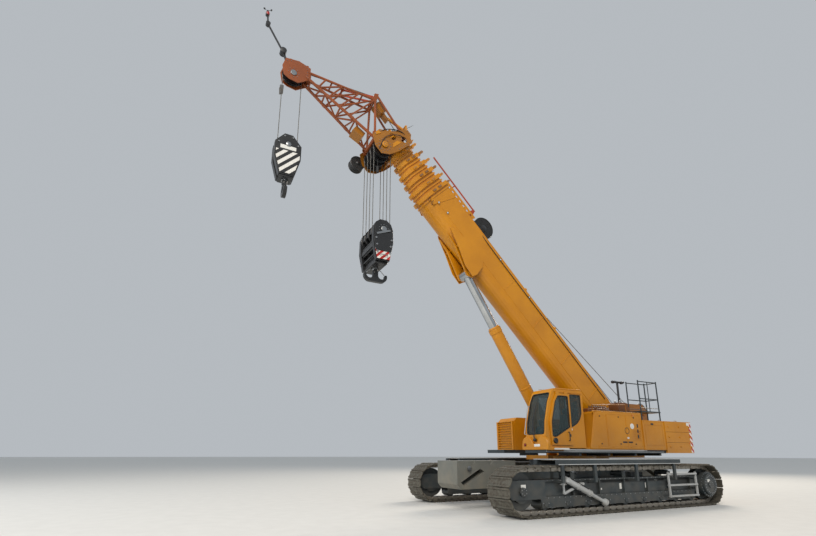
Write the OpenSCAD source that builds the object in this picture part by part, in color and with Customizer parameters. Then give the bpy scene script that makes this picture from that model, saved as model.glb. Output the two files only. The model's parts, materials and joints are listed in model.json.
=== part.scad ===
// Telescopic crawler crane with a short lattice jib and two hook blocks, in millimetres.
// X points forwards, Y to the operator's left, Z up from the ground. Sizes below are measured from the
// slewing axis, and every sub-part is then moved along X so that the whole crane is centred on X = 0.

/* [Tracks] */
// Distance between the centre lines of the two tracks
track_gauge = 4650; // [4400:10:5000]
// Width of a track shoe
shoe_w = 900; // [800:10:940]
// Height of a track, ground to top run
track_h = 1290; // [1250:10:1330]
// Length of a track over its shoes
track_l = 9000; // [8700:50:9400]
// Middle of the tracks ahead of the slewing axis
track_x = 165; // [100:5:230]
// Number of shoes on one track
shoe_n = 72; // [64:1:80]
// Thickness of a shoe plate
shoe_t = 45; // [35:1:55]
// Gap between two shoes
shoe_gap = 24; // [14:1:40]
// Depth of the chain under the shoes
chain_t = 120; // [100:1:130]
// Width of the chain
chain_w = 380; // [340:10:390]
// Radius of a bottom roller
roller_r = 130; // [110:1:140]
// Bottom rollers on one side
roller_n = 9; // [7:1:11]
// Radius of a top roller
top_roller_r = 75; // [60:1:85]
// Top rollers on one side
top_roller_n = 3; // [2:1:4]

/* [Track frames] */
// Width of the side frame's box
side_w = 450; // [420:10:500]
// Thickness of the side frame's plates
side_plate = 25; // [20:1:30]
// Underside of the side frame's box
side_z0 = 440; // [430:5:480]
// Top of the side frame's box
side_z1 = 930; // [900:5:960]
// From an end wheel's axle to the side frame's box
box_gap = 705; // [685:5:765]
// Outer radius of the final drive
drive_r = 400; // [360:5:430]
// How far the final drive stands out of the side frame
drive_out = 190; // [150:5:220]

/* [Car body] */
// Length of the car body's box
hull_l = 3100; // [2900:50:3300]
// Width of the car body's box
hull_w = 2300; // [2100:50:2500]
// Underside of the car body
hull_z0 = 480; // [440:10:520]
// Top of the car body
hull_z1 = 1180; // [1140:10:1200]
// Distance between the two cross beams
cross_gap = 2300; // [2200:20:2400]
// Width of a cross beam
cross_w = 560; // [480:10:620]
// Height of a cross beam
cross_h = 440; // [400:10:460]
// Radius of the slewing ring
ring_r = 1120; // [1050:10:1200]
// Top of the slewing ring's fixed half
ring_z = 1420; // [1400:5:1425]

/* [Central ballast] */
// Width of the central ballast
ballast_w = 1120; // [1000:10:1200]
// Length of one ballast block
ballast_l = 2150; // [2000:10:2200]
// Underside of the central ballast
ballast_z0 = 610; // [580:10:640]
// Top of the central ballast
ballast_z1 = 1395; // [1350:5:1410]

/* [Walkways and steps] */
// Length of a walkway over a track
walk_l = 5100; // [4900:20:5300]
// Middle of a walkway ahead of the slewing axis
walk_x = 455; // [420:5:490]
// Width of a walkway
walk_w = 950; // [900:10:1000]
// Depth of the walkway's frame
walk_t = 150; // [120:5:160]
// Length of the treads on the side frame
tread_l = 1400; // [1200:20:1500]
// Number of treads
tread_n = 3; // [2:1:4]

/* [Superstructure] */
// Height of the superstructure's main frame
frame_h = 140; // [120:5:150]
// Width of the main frame
frame_w = 1060; // [1040:5:1080]
// Height of the side decks' top
deck_z = 1740; // [1730:5:1745]
// Thickness of a side deck
deck_t = 110; // [90:5:120]
// Rear of the main frame behind the slewing axis
frame_rear = 3600; // [3500:20:3700]
// Front of the main frame ahead of the slewing axis
frame_front = 1150; // [1100:10:1200]

/* [Cab] */
// Length of the cab's floor
cab_l = 1650; // [1600:10:1700]
// Front of the cab's floor ahead of the slewing axis
cab_x = 2083; // [2040:5:2120]
// Outer side of the cab, door included
cab_y = 1543; // [1530:1:1560]
// Width of the cab without its door
cab_w = 935; // [920:5:940]
// Underside of the cab
cab_z0 = 1776; // [1770:1:1790]
// Top of the cab
cab_z1 = 3609; // [3560:5:3660]
// How far the windscreen leans back at its top
cab_lean = 372; // [300:5:420]
// Thickness of the cab's walls
cab_wall = 48; // [40:1:60]
// Thickness of the window panes
pane_t = 10; // [8:1:14]
// Length of the sliding door
door_l = 905; // [880:5:930]
// Thickness of the sliding door
door_t = 40; // [34:1:44]

/* [Hoods and counterweight] */
// Front of the left hood's foot, ahead of the slewing axis
hood_x = 209; // [180:1:240]
// Length of the left hood
hood_l = 2566; // [2500:2:2600]
// Outer side of the hoods
hood_y = 1482; // [1450:2:1500]
// Inner side of the hoods
hood_in = 580; // [575:1:600]
// Top of the left hood
hood_z = 2982; // [2900:2:3040]
// How far the left hood's front leans back
hood_lean = 294; // [240:2:340]
// Front of the right hood ahead of the slewing axis
right_x = 1650; // [1560:10:1740]
// Top of the right hood
right_z = 2850; // [2800:10:2900]
// Rear face of the counterweight behind the slewing axis
weight_rear = 5116; // [5060:2:5140]
// Length of the counterweight
weight_l = 1600; // [1560:10:1620]
// Half width of the counterweight
weight_y = 1534; // [1500:2:1560]
// Underside of the counterweight
weight_z0 = 1642; // [1620:2:1660]
// Top of the counterweight
weight_z1 = 2755; // [2700:5:2800]
// Radius of the counterweight's rear corners
weight_r = 130; // [100:10:200]

/* [Winches] */
// Radius of a winch drum's barrel
drum_r = 240; // [220:5:260]
// Radius of a drum's flanges
drum_flange_r = 350; // [330:5:370]
// Length of a drum between its flanges
drum_w = 620; // [560:10:680]
// Height of the winch axes
winch_z = 3170; // [3150:5:3200]
// Place of the first winch behind the slewing axis
winch_x = 3060; // [3030:10:3100]
// Distance between the two winches
winch_gap = 900; // [860:10:940]

/* [Boom] */
// Angle of the boom above the horizontal
boom_deg = 45.5; // [44:0.1:47]
// Boom pivot behind the slewing axis
pivot_x = 1970; // [1940:5:2000]
// Height of the boom pivot
pivot_z = 3060; // [3030:5:3100]
// Radius of the boom's pivot pin
pivot_r = 95; // [80:1:110]
// Length of the base section from the pivot to its front collar's end
base_l = 10220; // [10100:10:10300]
// Tail of the base section behind the pivot
base_tail = 430; // [400:5:460]
// Half width of the base section
base_w = 410; // [400:2:420]
// Height of the base section's top above the pivot line
base_top = 516; // [500:2:540]
// Depth of the base section's underside below the pivot line
base_bot = 721; // [700:2:740]
// Wall of the boom sections
tube_wall = 14; // [12:1:18]
// Number of telescoping sections
tele_n = 5; // [5:1:5]
// How much narrower each section is on each side
step_w = 38; // [34:1:40]
// How much lower each section's top is
step_top = 44; // [40:1:50]
// How much higher each section's underside is
step_bot = 54; // [50:1:60]
// Distance between two section collars
collar_gap = 330; // [310:5:350]
// Length of a section's collar
collar_l = 130; // [100:5:160]
// How far a collar stands out of its section
collar_out = 66; // [40:2:80]
// Start of the first telescoping section ahead of the pivot
tele_rear = 420; // [400:10:460]

/* [Boom head and jib] */
// Head sheaves' shaft ahead of the base section's front end
head_ahead = 1990; // [1940:5:2040]
// Depth of the head sheaves below the pivot line
head_v = 820; // [790:5:850]
// Radius of the rope on the sheaves
sheave_r = 290; // [270:2:310]
// Half width of the boom head
head_w = 600; // [580:5:620]
// Number of sheaves in the boom head and in the main block
sheave_n = 4; // [4:1:4]
// Distance between two main sheaves
sheave_gap = 270; // [250:5:280]
// Distance of the jib tip sheave along the boom
tip_s = 15586; // [15500:2:15650]
// Depth of the jib tip sheave below the pivot line
tip_v = 1608; // [1580:2:1640]
// Half width of the jib at its foot
jib_w0 = 360; // [340:5:380]
// Half width of the jib at its tip
jib_w1 = 165; // [150:5:180]
// Size of the jib's chords across their flats
chord_d = 90; // [80:2:110]
// Size of the jib's braces across their flats
brace_d = 52; // [44:2:60]

/* [Lifting cylinder] */
// Height of the cylinder's foot pin
foot_z = 1775; // [1760:5:1790]
// Cylinder's foot pin ahead of the slewing axis
foot_x = 250; // [230:5:270]
// Distance of the cylinder's head pin along the boom
lug_s = 7270; // [7220:5:7320]
// Depth of the cylinder's head pin below the pivot line
lug_v = 930; // [920:2:960]
// Outer radius of the cylinder's barrel
barrel_r = 205; // [190:1:210]
// Length of the barrel from the foot pin
barrel_l = 4740; // [4600:10:4750]
// Radius of the cylinder's rod
rod_r = 150; // [130:1:155]
// Length of the rod from the head pin
rod_l = 4560; // [4300:10:4600]

/* [Ropes and blocks] */
// Radius of the hoist rope
rope_r = 12; // [10:0.5:14]
// Height of the main block's sheaves above the ground
main_z = 8210; // [8100:10:8400]
// Height of the jib block's sheaves above the ground
fly_z = 10430; // [10300:10:10600]
// Height of a block from its sheaves' axle down to its swivel
block_drop = 1000; // [960:10:1040]

/* [Hidden] */

paint = "#D9961A";
paint_dark = "#B9770F";
frame_grey = "#3E4A52";
steel = "#6E6A62";
silver = "#B9BCBC";
black = "#1F2022";
rope_grey = "#8A8984";

lug_in = 215;    // half gap between the lug plates at both ends of the lifting cylinder
seat = 0.3;      // gap that a piece keeps from what carries it
slip = 6;        // gap between two pieces that pass each other

PI2 = 2 * PI;
run_r = track_h / 2 - shoe_t;                 // radius of the shoes' feet round an end wheel
run_l = track_l - track_h;                    // distance between a track's end wheels
side_l = run_l - 2 * box_gap;                 // length of the side frame's box
loop_l = 2 * run_l + PI2 * run_r;
pitch = loop_l / shoe_n;
wheel_r = run_r - chain_t - seat;             // radius of the idler and of the sprocket's rim
side_y = track_gauge / 2;
walk_z = track_h + 20;
turn_z = ring_z + seat;                       // underside of what slews
frame_z = turn_z + frame_h;
over_z = walk_z + walk_t + 16;                // what slews over the walkways stays above this
hood_z0 = deck_z + seat;
weight_x = -weight_rear + weight_l;           // front face of the counterweight

// Places along the boom: s runs from the pivot to the head, v stands square to it and points up
function at_x(s, v) = -pivot_x + s * cos(boom_deg) - v * sin(boom_deg);
function at_z(s, v) = pivot_z + s * sin(boom_deg) + v * cos(boom_deg);

head_s = base_l + head_ahead;                  // head sheaves' shaft along the boom
head_x = at_x(head_s, -head_v);
head_z = at_z(head_s, -head_v);
tip_x = at_x(tip_s, -tip_v);
tip_z = at_z(tip_s, -tip_v);
lug_x = at_x(lug_s, -lug_v);
lug_z = at_z(lug_s, -lug_v);
cyl_deg = atan2(lug_z - foot_z, lug_x - foot_x);
cyl_l = norm([lug_x - foot_x, lug_z - foot_z]);

mast_x = 900;                                 // light mast's lamp ahead of the jib tip sheave
mast_top = 1980;                              // and above it
lamp_r = 60;
front_x = tip_x + mast_x + lamp_r;            // foremost point of the crane
mid_x = (front_x - weight_rear) / 2;

module placed() translate([-mid_x, 0, 0]) children();
module on_boom() translate([-pivot_x, 0, pivot_z]) rotate([0, -boom_deg, 0]) children();
module both_sides() { children(); mirror([0, 1, 0]) children(); }
module on_side(left) { if (left) children(); else mirror([0, 1, 0]) children(); }

// A bar along Y, a profile in X and Z with a thickness along Y, and a bar between two points
module bar_y(r, y0, y1) translate([0, y0, 0]) rotate([-90, 0, 0]) cylinder(r = r, h = y1 - y0, $fn = 48);
module plate_y(y0, y1, points) translate([0, y1, 0]) rotate([90, 0, 0])
    linear_extrude(y1 - y0) polygon(points);
module bar(a, b, d, sides = 8) {
    v = b - a;
    translate(a) rotate([0, atan2(norm([v[0], v[1]]), v[2]), atan2(v[1], v[0])])
        rotate([0, 0, 180 / sides]) cylinder(d = d / cos(180 / sides), h = norm(v), $fn = sides);
}
module box(x0, x1, y0, y1, z0, z1) translate([x0, y0, z0]) cube([x1 - x0, y1 - y0, z1 - z0]);

// Tracks

// A point at distance s along a track's loop and at a height out of the shoes' feet
function loop_at(s, out) =
    let (r = run_r + out, half = run_l / 2, arc = PI * run_r)
    s < run_l ? [s - half, r]
    : s < run_l + arc ? let (a = 90 - (s - run_l) / run_r * 180 / PI) [half + r * cos(a), r * sin(a)]
    : s < 2 * run_l + arc ? [half - (s - run_l - arc), -r]
    : let (a = -90 - (s - 2 * run_l - arc) / run_r * 180 / PI) [-half + r * cos(a), r * sin(a)];

module ring_2d(r) {
    square([run_l, 2 * r], center = true);
    for (x = [-1, 1]) translate([x * run_l / 2, 0]) circle(r = r, $fn = 96);
}

module track() {
    embed = 12;
    shoes = [for (i = [0 : shoe_n - 1]) each [
        loop_at(i * pitch + shoe_gap / 2, 0), loop_at(i * pitch + shoe_gap / 2, shoe_t),
        loop_at((i + 1) * pitch - shoe_gap / 2, shoe_t), loop_at((i + 1) * pitch - shoe_gap / 2, 0)]];
    color(steel) translate([track_x, side_y, track_h / 2]) rotate([90, 0, 0]) {
        linear_extrude(shoe_w, center = true) difference() {
            polygon(shoes);
            ring_2d(run_r - embed - shoe_t);
        }
        linear_extrude(chain_w, center = true) difference() {
            ring_2d(run_r - embed);
            ring_2d(run_r - chain_t);
        }
    }
}

module rollers() {
    low_z = shoe_t + chain_t + seat + roller_r;
    top_z = track_h - shoe_t - chain_t - seat - top_roller_r;
    axle_y = side_w / 2 - side_plate - seat;
    rim_w = chain_w / 2 - 10;
    span = run_l - 2 * wheel_r - 2 * roller_r - 300;
    color(frame_grey) translate([track_x, side_y, 0]) {
        for (i = [0 : roller_n - 1]) translate([-span / 2 + span * i / (roller_n - 1), 0, low_z]) {
            bar_y(roller_r, -rim_w, rim_w);
            bar_y(roller_r / 3, -axle_y, axle_y);
        }
        for (i = [0 : top_roller_n - 1])
            translate([-span / 3 + span * 2 / 3 * i / (top_roller_n - 1), 0, top_z])
                bar_y(top_roller_r, -rim_w, rim_w);
        for (x = [-1, 1]) translate([x * run_l / 2, 0, track_h / 2]) {
            bar_y(wheel_r, -rim_w / 2, rim_w / 2);
            bar_y(wheel_r * 0.6, -rim_w, rim_w);
            bar_y(wheel_r / 4, -axle_y, axle_y);
        }
    }
}

module track_frame() {
    half = side_w / 2;
    in_y = half - side_plate;
    low_z = shoe_t + chain_t + seat + roller_r;
    top_z = track_h - shoe_t - chain_t - seat - top_roller_r;
    mid_z = track_h / 2;
    end_x = run_l / 2 + 330;
    span = run_l - 2 * wheel_r - 2 * roller_r - 300;
    color(frame_grey) translate([track_x, side_y, 0]) {
        // box with a recessed outer face between its flanges
        difference() {
            box(-side_l / 2, side_l / 2, -half, half, side_z0, side_z1);
            for (x = [-side_l / 2 + 60 : (side_l - 120) / 6 : side_l / 2 - 100])
                box(x + 20, x + (side_l - 120) / 6 - 20, half - 70, half + 1, side_z0 + 60, side_z1 - 50);
        }
        // skirts that hold the rollers' axles
        for (y = [-half, in_y]) {
            plate_y(y, y + side_plate, [[-span / 2 - 150, side_z0 + 5], [-span / 2 - 110, low_z - 70],
                [span / 2 + 110, low_z - 70], [span / 2 + 150, side_z0 + 5]]);
            for (x = [-1, 1]) {
                plate_y(y, y + side_plate, [[x * (side_l / 2 - 10), side_z0 + 5],
                    [x * (side_l / 2 - 10), side_z1 - 5], [x * end_x, side_z1 - 5],
                    [x * (end_x + 110), mid_z + 150], [x * (end_x + 110), mid_z - 100], [x * end_x, side_z0 + 5]]);
            }
        }
        // brackets of the top rollers
        for (i = [0 : top_roller_n - 1]) translate([-span / 3 + span * 2 / 3 * i / (top_roller_n - 1), 0, 0])
            for (y = [-half, in_y])
                box(-70, 70, y, y + side_plate, side_z1 - 10, top_z + 40);
        for (i = [0 : top_roller_n - 1]) translate([-span / 3 + span * 2 / 3 * i / (top_roller_n - 1), 0, top_z])
            for (y = [-half + side_plate, chain_w / 2 - 10 + seat])
                bar_y(30, y, y + half - side_plate - chain_w / 2 + 10 - seat);
        // final drive with its round cover at the rear, idler guard at the front
        translate([-run_l / 2, 0, mid_z]) {
            bar_y(drive_r, half, half + drive_out * 0.6);
            bar_y(drive_r - 70, half, half + drive_out);
            bar_y(120, half, half + drive_out + 20);
        }
        translate([run_l / 2, 0, mid_z]) bar_y(110, half, half + 60);
    }
}

// Car body

module car_body() {
    beam_z = (hull_z0 + hull_z1 - cross_h) / 2;
    color(frame_grey) {
        translate([track_x, 0, 0]) {
            plate_y(-hull_w / 2, hull_w / 2, [[-hull_l / 2, hull_z0 + 150], [-hull_l / 2 + 200, hull_z0],
                [hull_l / 2 - 200, hull_z0], [hull_l / 2, hull_z0 + 150], [hull_l / 2, hull_z1 - 80],
                [hull_l / 2 - 120, hull_z1], [-hull_l / 2 + 120, hull_z1], [-hull_l / 2, hull_z1 - 80]]);
            // cross beams, each sliding into the body and flanged to the side frames
            for (x = [-cross_gap / 2, cross_gap / 2]) {
                box(x - cross_w / 2, x + cross_w / 2, -side_y + side_w / 2, side_y - side_w / 2,
                    beam_z, beam_z + cross_h);
                both_sides() box(x - cross_w / 2 - 60, x + cross_w / 2 + 60, side_y - side_w / 2 - 60,
                    side_y - side_w / 2, side_z0 + 10, side_z1 - 10);
            }
            // arms that carry the ballast blocks
            both_sides() for (x = [0, 1]) mirror([x, 0, 0])
                plate_y(250, 400, [[hull_l / 2 - 20, ballast_z0 + 60], [ballast_x() - seat, ballast_z0 + 160],
                    [ballast_x() - seat, ballast_z1 - 100], [hull_l / 2 - 20, hull_z1 - 100]]);
        }
        difference() {
            translate([0, 0, hull_z1 - 10]) cylinder(r = ring_r, h = ring_z - hull_z1 + 10, $fn = 96);
            translate([0, 0, hull_z1]) cylinder(r = ring_r - 420, h = 400, $fn = 96);
        }
        translate([0, 0, hull_z1 - 10]) cylinder(r = ring_r + 90, h = 60, $fn = 96);
    }
}

function ballast_x() = hull_l / 2 + 840;

module ballast_block() {
    x0 = ballast_x();
    chamfer = 120;
    difference() {
        union() {
            plate_y(-ballast_w / 2, ballast_w / 2, [[x0, ballast_z0 + chamfer], [x0 + chamfer, ballast_z0],
                [x0 + ballast_l - chamfer, ballast_z0 - 20], [x0 + ballast_l, ballast_z0 + chamfer],
                [x0 + ballast_l, ballast_z1], [x0, ballast_z1]]);
            // lifting pins on both sides
            for (x = [x0 + 380, x0 + ballast_l - 380]) translate([x, 0, ballast_z1 - 220])
                bar_y(55, -ballast_w / 2 - 70, ballast_w / 2 + 70);
        }
        // slanting hand hole through the block, and two half-round notches in each top edge
        plate_y(-ballast_w, ballast_w, [[x0 + 1930, ballast_z0 + 80], [x0 + 2030, ballast_z0 + 180],
            [x0 + 1330, ballast_z0 + 560], [x0 + 1190, ballast_z0 + 470]]);
        both_sides() for (x = [x0 + 980, x0 + 1630]) translate([x, 0, ballast_z1])
            bar_y(110, ballast_w / 2 - 60, ballast_w / 2 + 1);
    }
}

module central_ballast() color("#77797A") translate([track_x, 0, 0]) {
    ballast_block();
    mirror([1, 0, 0]) ballast_block();
}

module walkway() {
    y0 = side_y - shoe_w / 2 + 30;
    y1 = y0 + walk_w;
    rail = 60;
    post_z = side_z1 - 90;
    posts = [-walk_l / 2 + 300, -510, 1190, walk_l / 2 - 150];    // clear of the jack and of the steps
    color(frame_grey) translate([walk_x, 0, 0]) {
        difference() {
            box(-walk_l / 2, walk_l / 2, y0, y1, walk_z, walk_z + walk_t);
            box(-walk_l / 2 + rail, walk_l / 2 - rail, y0 + rail, y1 - rail, walk_z - 1, walk_z + walk_t - 30);
            // slots of the grating
            for (x = [-walk_l / 2 + 2 * rail : 240 : walk_l / 2 - 3 * rail])
                box(x, x + 190, y0 + 2 * rail, y1 - 2 * rail, walk_z, walk_z + walk_t + 1);
        }
        for (x = posts) translate([x, 0, 0]) {
            box(-45, 45, side_y + shoe_w / 2 + 20, y1, post_z, walk_z + 20);
            box(-45, 45, side_y + side_w / 2, y1, post_z, post_z + 60);
        }
    }
    // broad treads on the side frame, silver
    color(silver) translate([-2325, 0, 0]) {
        tread_y = side_y + side_w / 2;
        for (x = [-tread_l / 2, tread_l / 2 - 50])
            box(x, x + 50, tread_y + 120, tread_y + 170, 300, side_z1 + 120);
        for (i = [0 : tread_n - 1]) translate([0, 0, 320 + i * (side_z1 - 280) / (tread_n - 1)])
            box(-tread_l / 2 + 20, tread_l / 2 - 20, tread_y + 90, tread_y + 200, 0, 45);
        for (x = [-tread_l / 2, tread_l / 2 - 50], z = [side_z0 + 80, side_z1 - 120])
            box(x, x + 50, tread_y, tread_y + 130, z, z + 50);
    }
}

module jack() {
    y0 = side_y + side_w / 2;
    hinge_x = walk_x + walk_l / 2 - 385;         // just behind the walkway's front post
    top = [hinge_x, y0 + 110, 940];
    foot = [hinge_x - 1440, y0 + 110, 285];
    d = foot - top;
    color(silver) {
        bar(top, top + d * 0.62, 150, 24);
        bar(top + d * 0.62, foot, 100, 24);
        translate(foot) rotate([0, 60, 0]) translate([0, 0, -30]) cylinder(r = 102, h = 60, $fn = 48);
        // bracket, hinge pins and the folded arm
        box(hinge_x - 100, hinge_x + 100, y0, y0 + 60, 780, side_z1 - 20);
        translate([hinge_x, 0, 900]) bar_y(45, y0, y0 + 190);
        bar([hinge_x + 30, y0 + 60, 560], [hinge_x - 670, y0 + 60, 800], 70);
        bar([hinge_x + 30, y0 + 60, 560], [hinge_x + 30, y0 + 60, 880], 60);
        bar([hinge_x - 670, y0, 800], [hinge_x - 670, y0 + 110, 800], 70);
    }
}

// Superstructure

module turntable() {
    cheek = [[-3000, frame_z - 20], [-2700, 2300], [-pivot_x - 330, pivot_z - 40],
        [-pivot_x - 240, pivot_z + 230], [-pivot_x + 240, pivot_z + 230], [-pivot_x + 330, pivot_z - 60],
        [-1150, 2150], [-300, frame_z + 60], [-300, frame_z - 20]];
    cheek_t = 70;
    cheek_y = base_w + 20;
    color(paint) {
        difference() {
            union() {
                box(-frame_rear, frame_front, -frame_w / 2, frame_w / 2, turn_z, frame_z);
                box(-frame_rear, -ring_r, -frame_w / 2, frame_w / 2, frame_z - 1, frame_z + 55);
                translate([0, 0, turn_z]) cylinder(r = ring_r - 20, h = frame_h - 20, $fn = 96);
            }
            translate([0, 0, turn_z - 1]) cylinder(r = 260, h = frame_h + 2, $fn = 48);
            // the rear passes over the walkways when the crane slews
            box(-frame_rear - 1, -1700, -frame_w, frame_w, turn_z - 1, over_z);
        }
        both_sides() {
            difference() {
                plate_y(cheek_y, cheek_y + cheek_t, cheek);
                translate([-2050, 0, 2150]) bar_y(190, cheek_y - 1, cheek_y + cheek_t + 1);
            }
            translate([-pivot_x, 0, pivot_z]) bar_y(190, cheek_y, cheek_y + cheek_t + 50);
            // cheeks of the cylinder's foot
            plate_y(lug_in, lug_in + 70, [[foot_x - 330, frame_z - 10], [foot_x - 150, foot_z],
                [foot_x + 150, foot_z], [foot_x + 200, frame_z - 10]]);
            translate([foot_x, 0, foot_z]) {
                bar_y(150, lug_in, lug_in + 70);
                bar_y(90, lug_in + 60, lug_in + 105);
            }
            // hangers of the counterweight
            box(weight_x + seat, weight_x + 180, 280, base_w, over_z, 2380);
        }
        // pin of the boom
        translate([-pivot_x, 0, pivot_z]) bar_y(pivot_r, -cheek_y, cheek_y);
    }
}

module side_decks() {
    color(frame_grey) both_sides() {
        box(weight_x + seat, 2100, frame_w / 2 + seat, hood_y - 20, deck_z - deck_t, deck_z);
        for (x = [-3300, -2000, -700, 600])
            box(x, x + 90, frame_w / 2 + seat, hood_y - 60, frame_z - 15, deck_z - deck_t);
    }
}

module left_hood() {
    r = 70;
    x1 = hood_x - hood_l;
    color(paint) difference() {
        plate_y(hood_in, hood_y, [[x1, hood_z0], [hood_x, hood_z0], [hood_x - hood_lean, hood_z - r],
            [hood_x - hood_lean - r, hood_z], [x1, hood_z]]);
        // door gaps and a row of latches on the outer face
        for (x = [-620, -1560]) box(x, x + 14, hood_y - 14, hood_y + 1, hood_z0 + 90, hood_z - 90);
        for (z = [2050 : 60 : 2350]) box(x1 + 120, x1 + 520, hood_y - 16, hood_y + 1, z, z + 26);
    }
}

module right_hood() {
    color(paint) difference() {
        plate_y(-hood_y, -hood_in, [[weight_x + 20, hood_z0], [right_x - 90, hood_z0], [right_x - 90, right_z - 120],
            [right_x - 210, right_z], [weight_x + 20, right_z]]);
        for (x = [-2600, -1500, -400]) box(x, x + 14, -hood_y - 1, -hood_y + 14, hood_z0 + 90, right_z - 90);
    }
}

module front_louvres() {
    slat_n = 11;
    x0 = right_x - 90 + seat;
    z0 = hood_z0 + 40;
    z1 = right_z - 150;
    color(paint) {
        difference() {
            box(x0, right_x, -hood_y + 10, -hood_in - 10, hood_z0, right_z - 125);
            box(x0 + 20, right_x + 1, -hood_y + 70, -hood_in - 70, z0, z1);
        }
        for (i = [0 : slat_n - 1]) translate([x0 + 15, 0, z0 + (i + 0.25) * (z1 - z0) / slat_n])
            plate_y(-hood_y + 60, -hood_in - 60, [[0, 40], [0, 52], [62, 16], [62, 4]]);
    }
}

module rear_housing() {
    x0 = weight_x + seat;
    x1 = hood_x - hood_l - seat;
    color(paint) difference() {
        box(x0, x1, hood_in, hood_y + 30, hood_z0, weight_z1);
        // hatch outline
        for (x = [x0 + 120, x1 - 120]) box(x, x + 12, hood_y + 20, hood_y + 31, hood_z0 + 150, weight_z1 - 160);
        for (z = [hood_z0 + 150, weight_z1 - 172])
            box(x0 + 120, x1 - 108, hood_y + 20, hood_y + 31, z, z + 12);
    }
}

module counterweight() {
    slabs = 3;
    h = (weight_z1 - weight_z0) / slabs;
    color(paint) for (i = [0 : slabs - 1]) translate([-weight_rear, 0, weight_z0 + i * h]) {
        linear_extrude(h - (i < slabs - 1 ? 8 : 0)) {
            translate([weight_r, -weight_y]) square([weight_l - weight_r, 2 * weight_y]);
            translate([0, -weight_y + weight_r]) square([weight_l, 2 * (weight_y - weight_r)]);
            for (y = [-1, 1]) translate([weight_r, y * (weight_y - weight_r)]) circle(r = weight_r, $fn = 64);
        }
        if (i < slabs - 1) translate([300, -weight_y + 300, h - 9])
            cube([weight_l - 600, 2 * weight_y - 600, 10]);
    }
}

module engine_block() color("#5A5C5E")
    box(-3300, -2500, -base_w, base_w, frame_z + 55 + seat, frame_z + 700);

// Cab

cab_r = cab_x - cab_l;                         // rear face of the cab
cab_in = cab_y - door_t - slip;                // outer face of the cab's left wall
cab_yr = cab_in - cab_w + 46;                  // right face of the cab

// Side view of the cab, pulled in by d: columns are x and z
function cab_side(d) = [
    [cab_r + d, cab_z0 + d], [cab_x - 60 - d, cab_z0 + d], [cab_x + 20 - d, cab_z0 + 380 + d / 4],
    [cab_x - 20 - d, cab_z0 + 800], [cab_x - cab_lean * 0.5 - d, cab_z1 - 420],
    [cab_x - cab_lean + 30 - d, cab_z1 - 90 - d / 2], [cab_x - cab_lean - 60 - d, cab_z1 - d],
    [cab_r + 80 + d, cab_z1 - d], [cab_r + d, cab_z1 - 60 - d]];

// Openings of the windows, pulled in by d
module cab_windows(d) {
    x1 = cab_x - cab_lean - 200;
    // windscreen
    box(cab_x - 480, cab_x + 100, cab_yr + 70 + d, cab_in - 70 - d, cab_z0 + 420 + d, cab_z1 - 130 - d);
    // right side, rear and roof
    box(cab_r + 120 + d, x1 - d, cab_yr - 50, cab_yr + 60, cab_z0 + 760 + d, cab_z1 - 160 - d);
    box(cab_r - 50, cab_r + 60, cab_yr + 130 + d, cab_in - 130 - d, cab_z0 + 900 + d, cab_z1 - 180 - d);
    box(cab_r + 420 + d, x1 - 60 - d, cab_yr + 180 + d, cab_in - 180 - d, cab_z1 - 60, cab_z1 + 50);
    // rear side window with its swept lower edge
    plate_y(cab_in - 60, cab_in + 50, [[cab_r + 90 + d, cab_z1 - 160 - d], [cab_r + 90 + d, cab_z0 + 1080 + d],
        [cab_r + 180 + d, cab_z0 + 900 + d], [cab_r + 300, cab_z0 + 770 + d], [cab_r + door_gap() - 60 - d,
        cab_z0 + 640 + d * 1.3], [cab_r + door_gap() - 60 - d, cab_z1 - 160 - d]]);
}
function door_gap() = cab_l - cab_lean * 0.35 - door_l;      // from the cab's rear to the door's rear edge
door_x = cab_r + door_gap();

module door_side(d) polygon([[door_x + d, cab_z0 + 90 + d], [cab_x - 190 - d, cab_z0 + 90 + d],
    [cab_x - 150 - d, cab_z0 + 800], [cab_x - cab_lean * 0.5 - 150 - d, cab_z1 - 420],
    [cab_x - cab_lean - 120 - d, cab_z1 - 150 - d], [door_x + d, cab_z1 - 150 - d]]);

module cab_shell() {
    color(paint) {
        difference() {
            plate_y(cab_yr, cab_in, cab_side(0));
            plate_y(cab_yr + cab_wall, cab_in - cab_wall, cab_side(cab_wall));
            cab_windows(0);
            translate([0, cab_in + 1, 0]) rotate([90, 0, 0]) linear_extrude(cab_wall + 2) door_side(50);
        }
        // door rail
        box(cab_r + 20, cab_x - cab_lean - 120, cab_in - 2, cab_in + 26, cab_z1 - 120, cab_z1 - 100);
        // floor brackets down to the deck
        for (x = [cab_r + 100, cab_x - 400]) box(x, x + 200, cab_yr + 100, cab_in - 100, deck_z + seat, cab_z0 + 1);
    }
}

module cab_glass() color("#22303A") difference() {
    intersection() {
        difference() {
            plate_y(cab_yr + 18, cab_in - 18, cab_side(18));
            plate_y(cab_yr + 18 + pane_t, cab_in - 18 - pane_t, cab_side(18 + pane_t));
        }
        cab_windows(seat);
    }
}

module cab_door() {
    y0 = cab_in + slip;
    color(paint) {
        difference() {
            translate([0, y0 + door_t, 0]) rotate([90, 0, 0]) linear_extrude(door_t) door_side(0);
            translate([0, y0 + door_t + 1, 0]) rotate([90, 0, 0]) linear_extrude(door_t + 2) door_window(0);
        }
        // two hangers over the rail
        for (x = [door_x + 60, door_x + door_l - 480]) {
            box(x, x + 140, y0 + 26, y0 + door_t, cab_z1 - 160, cab_z1 - 86);
            box(x, x + 140, cab_in + 4, y0 + door_t, cab_z1 - 100 + seat, cab_z1 - 86);
        }
        // grip
        box(door_x + 30, door_x + 60, y0 + door_t - 1, y0 + door_t + 22, cab_z0 + 820, cab_z0 + 1050);
    }
}

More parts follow.
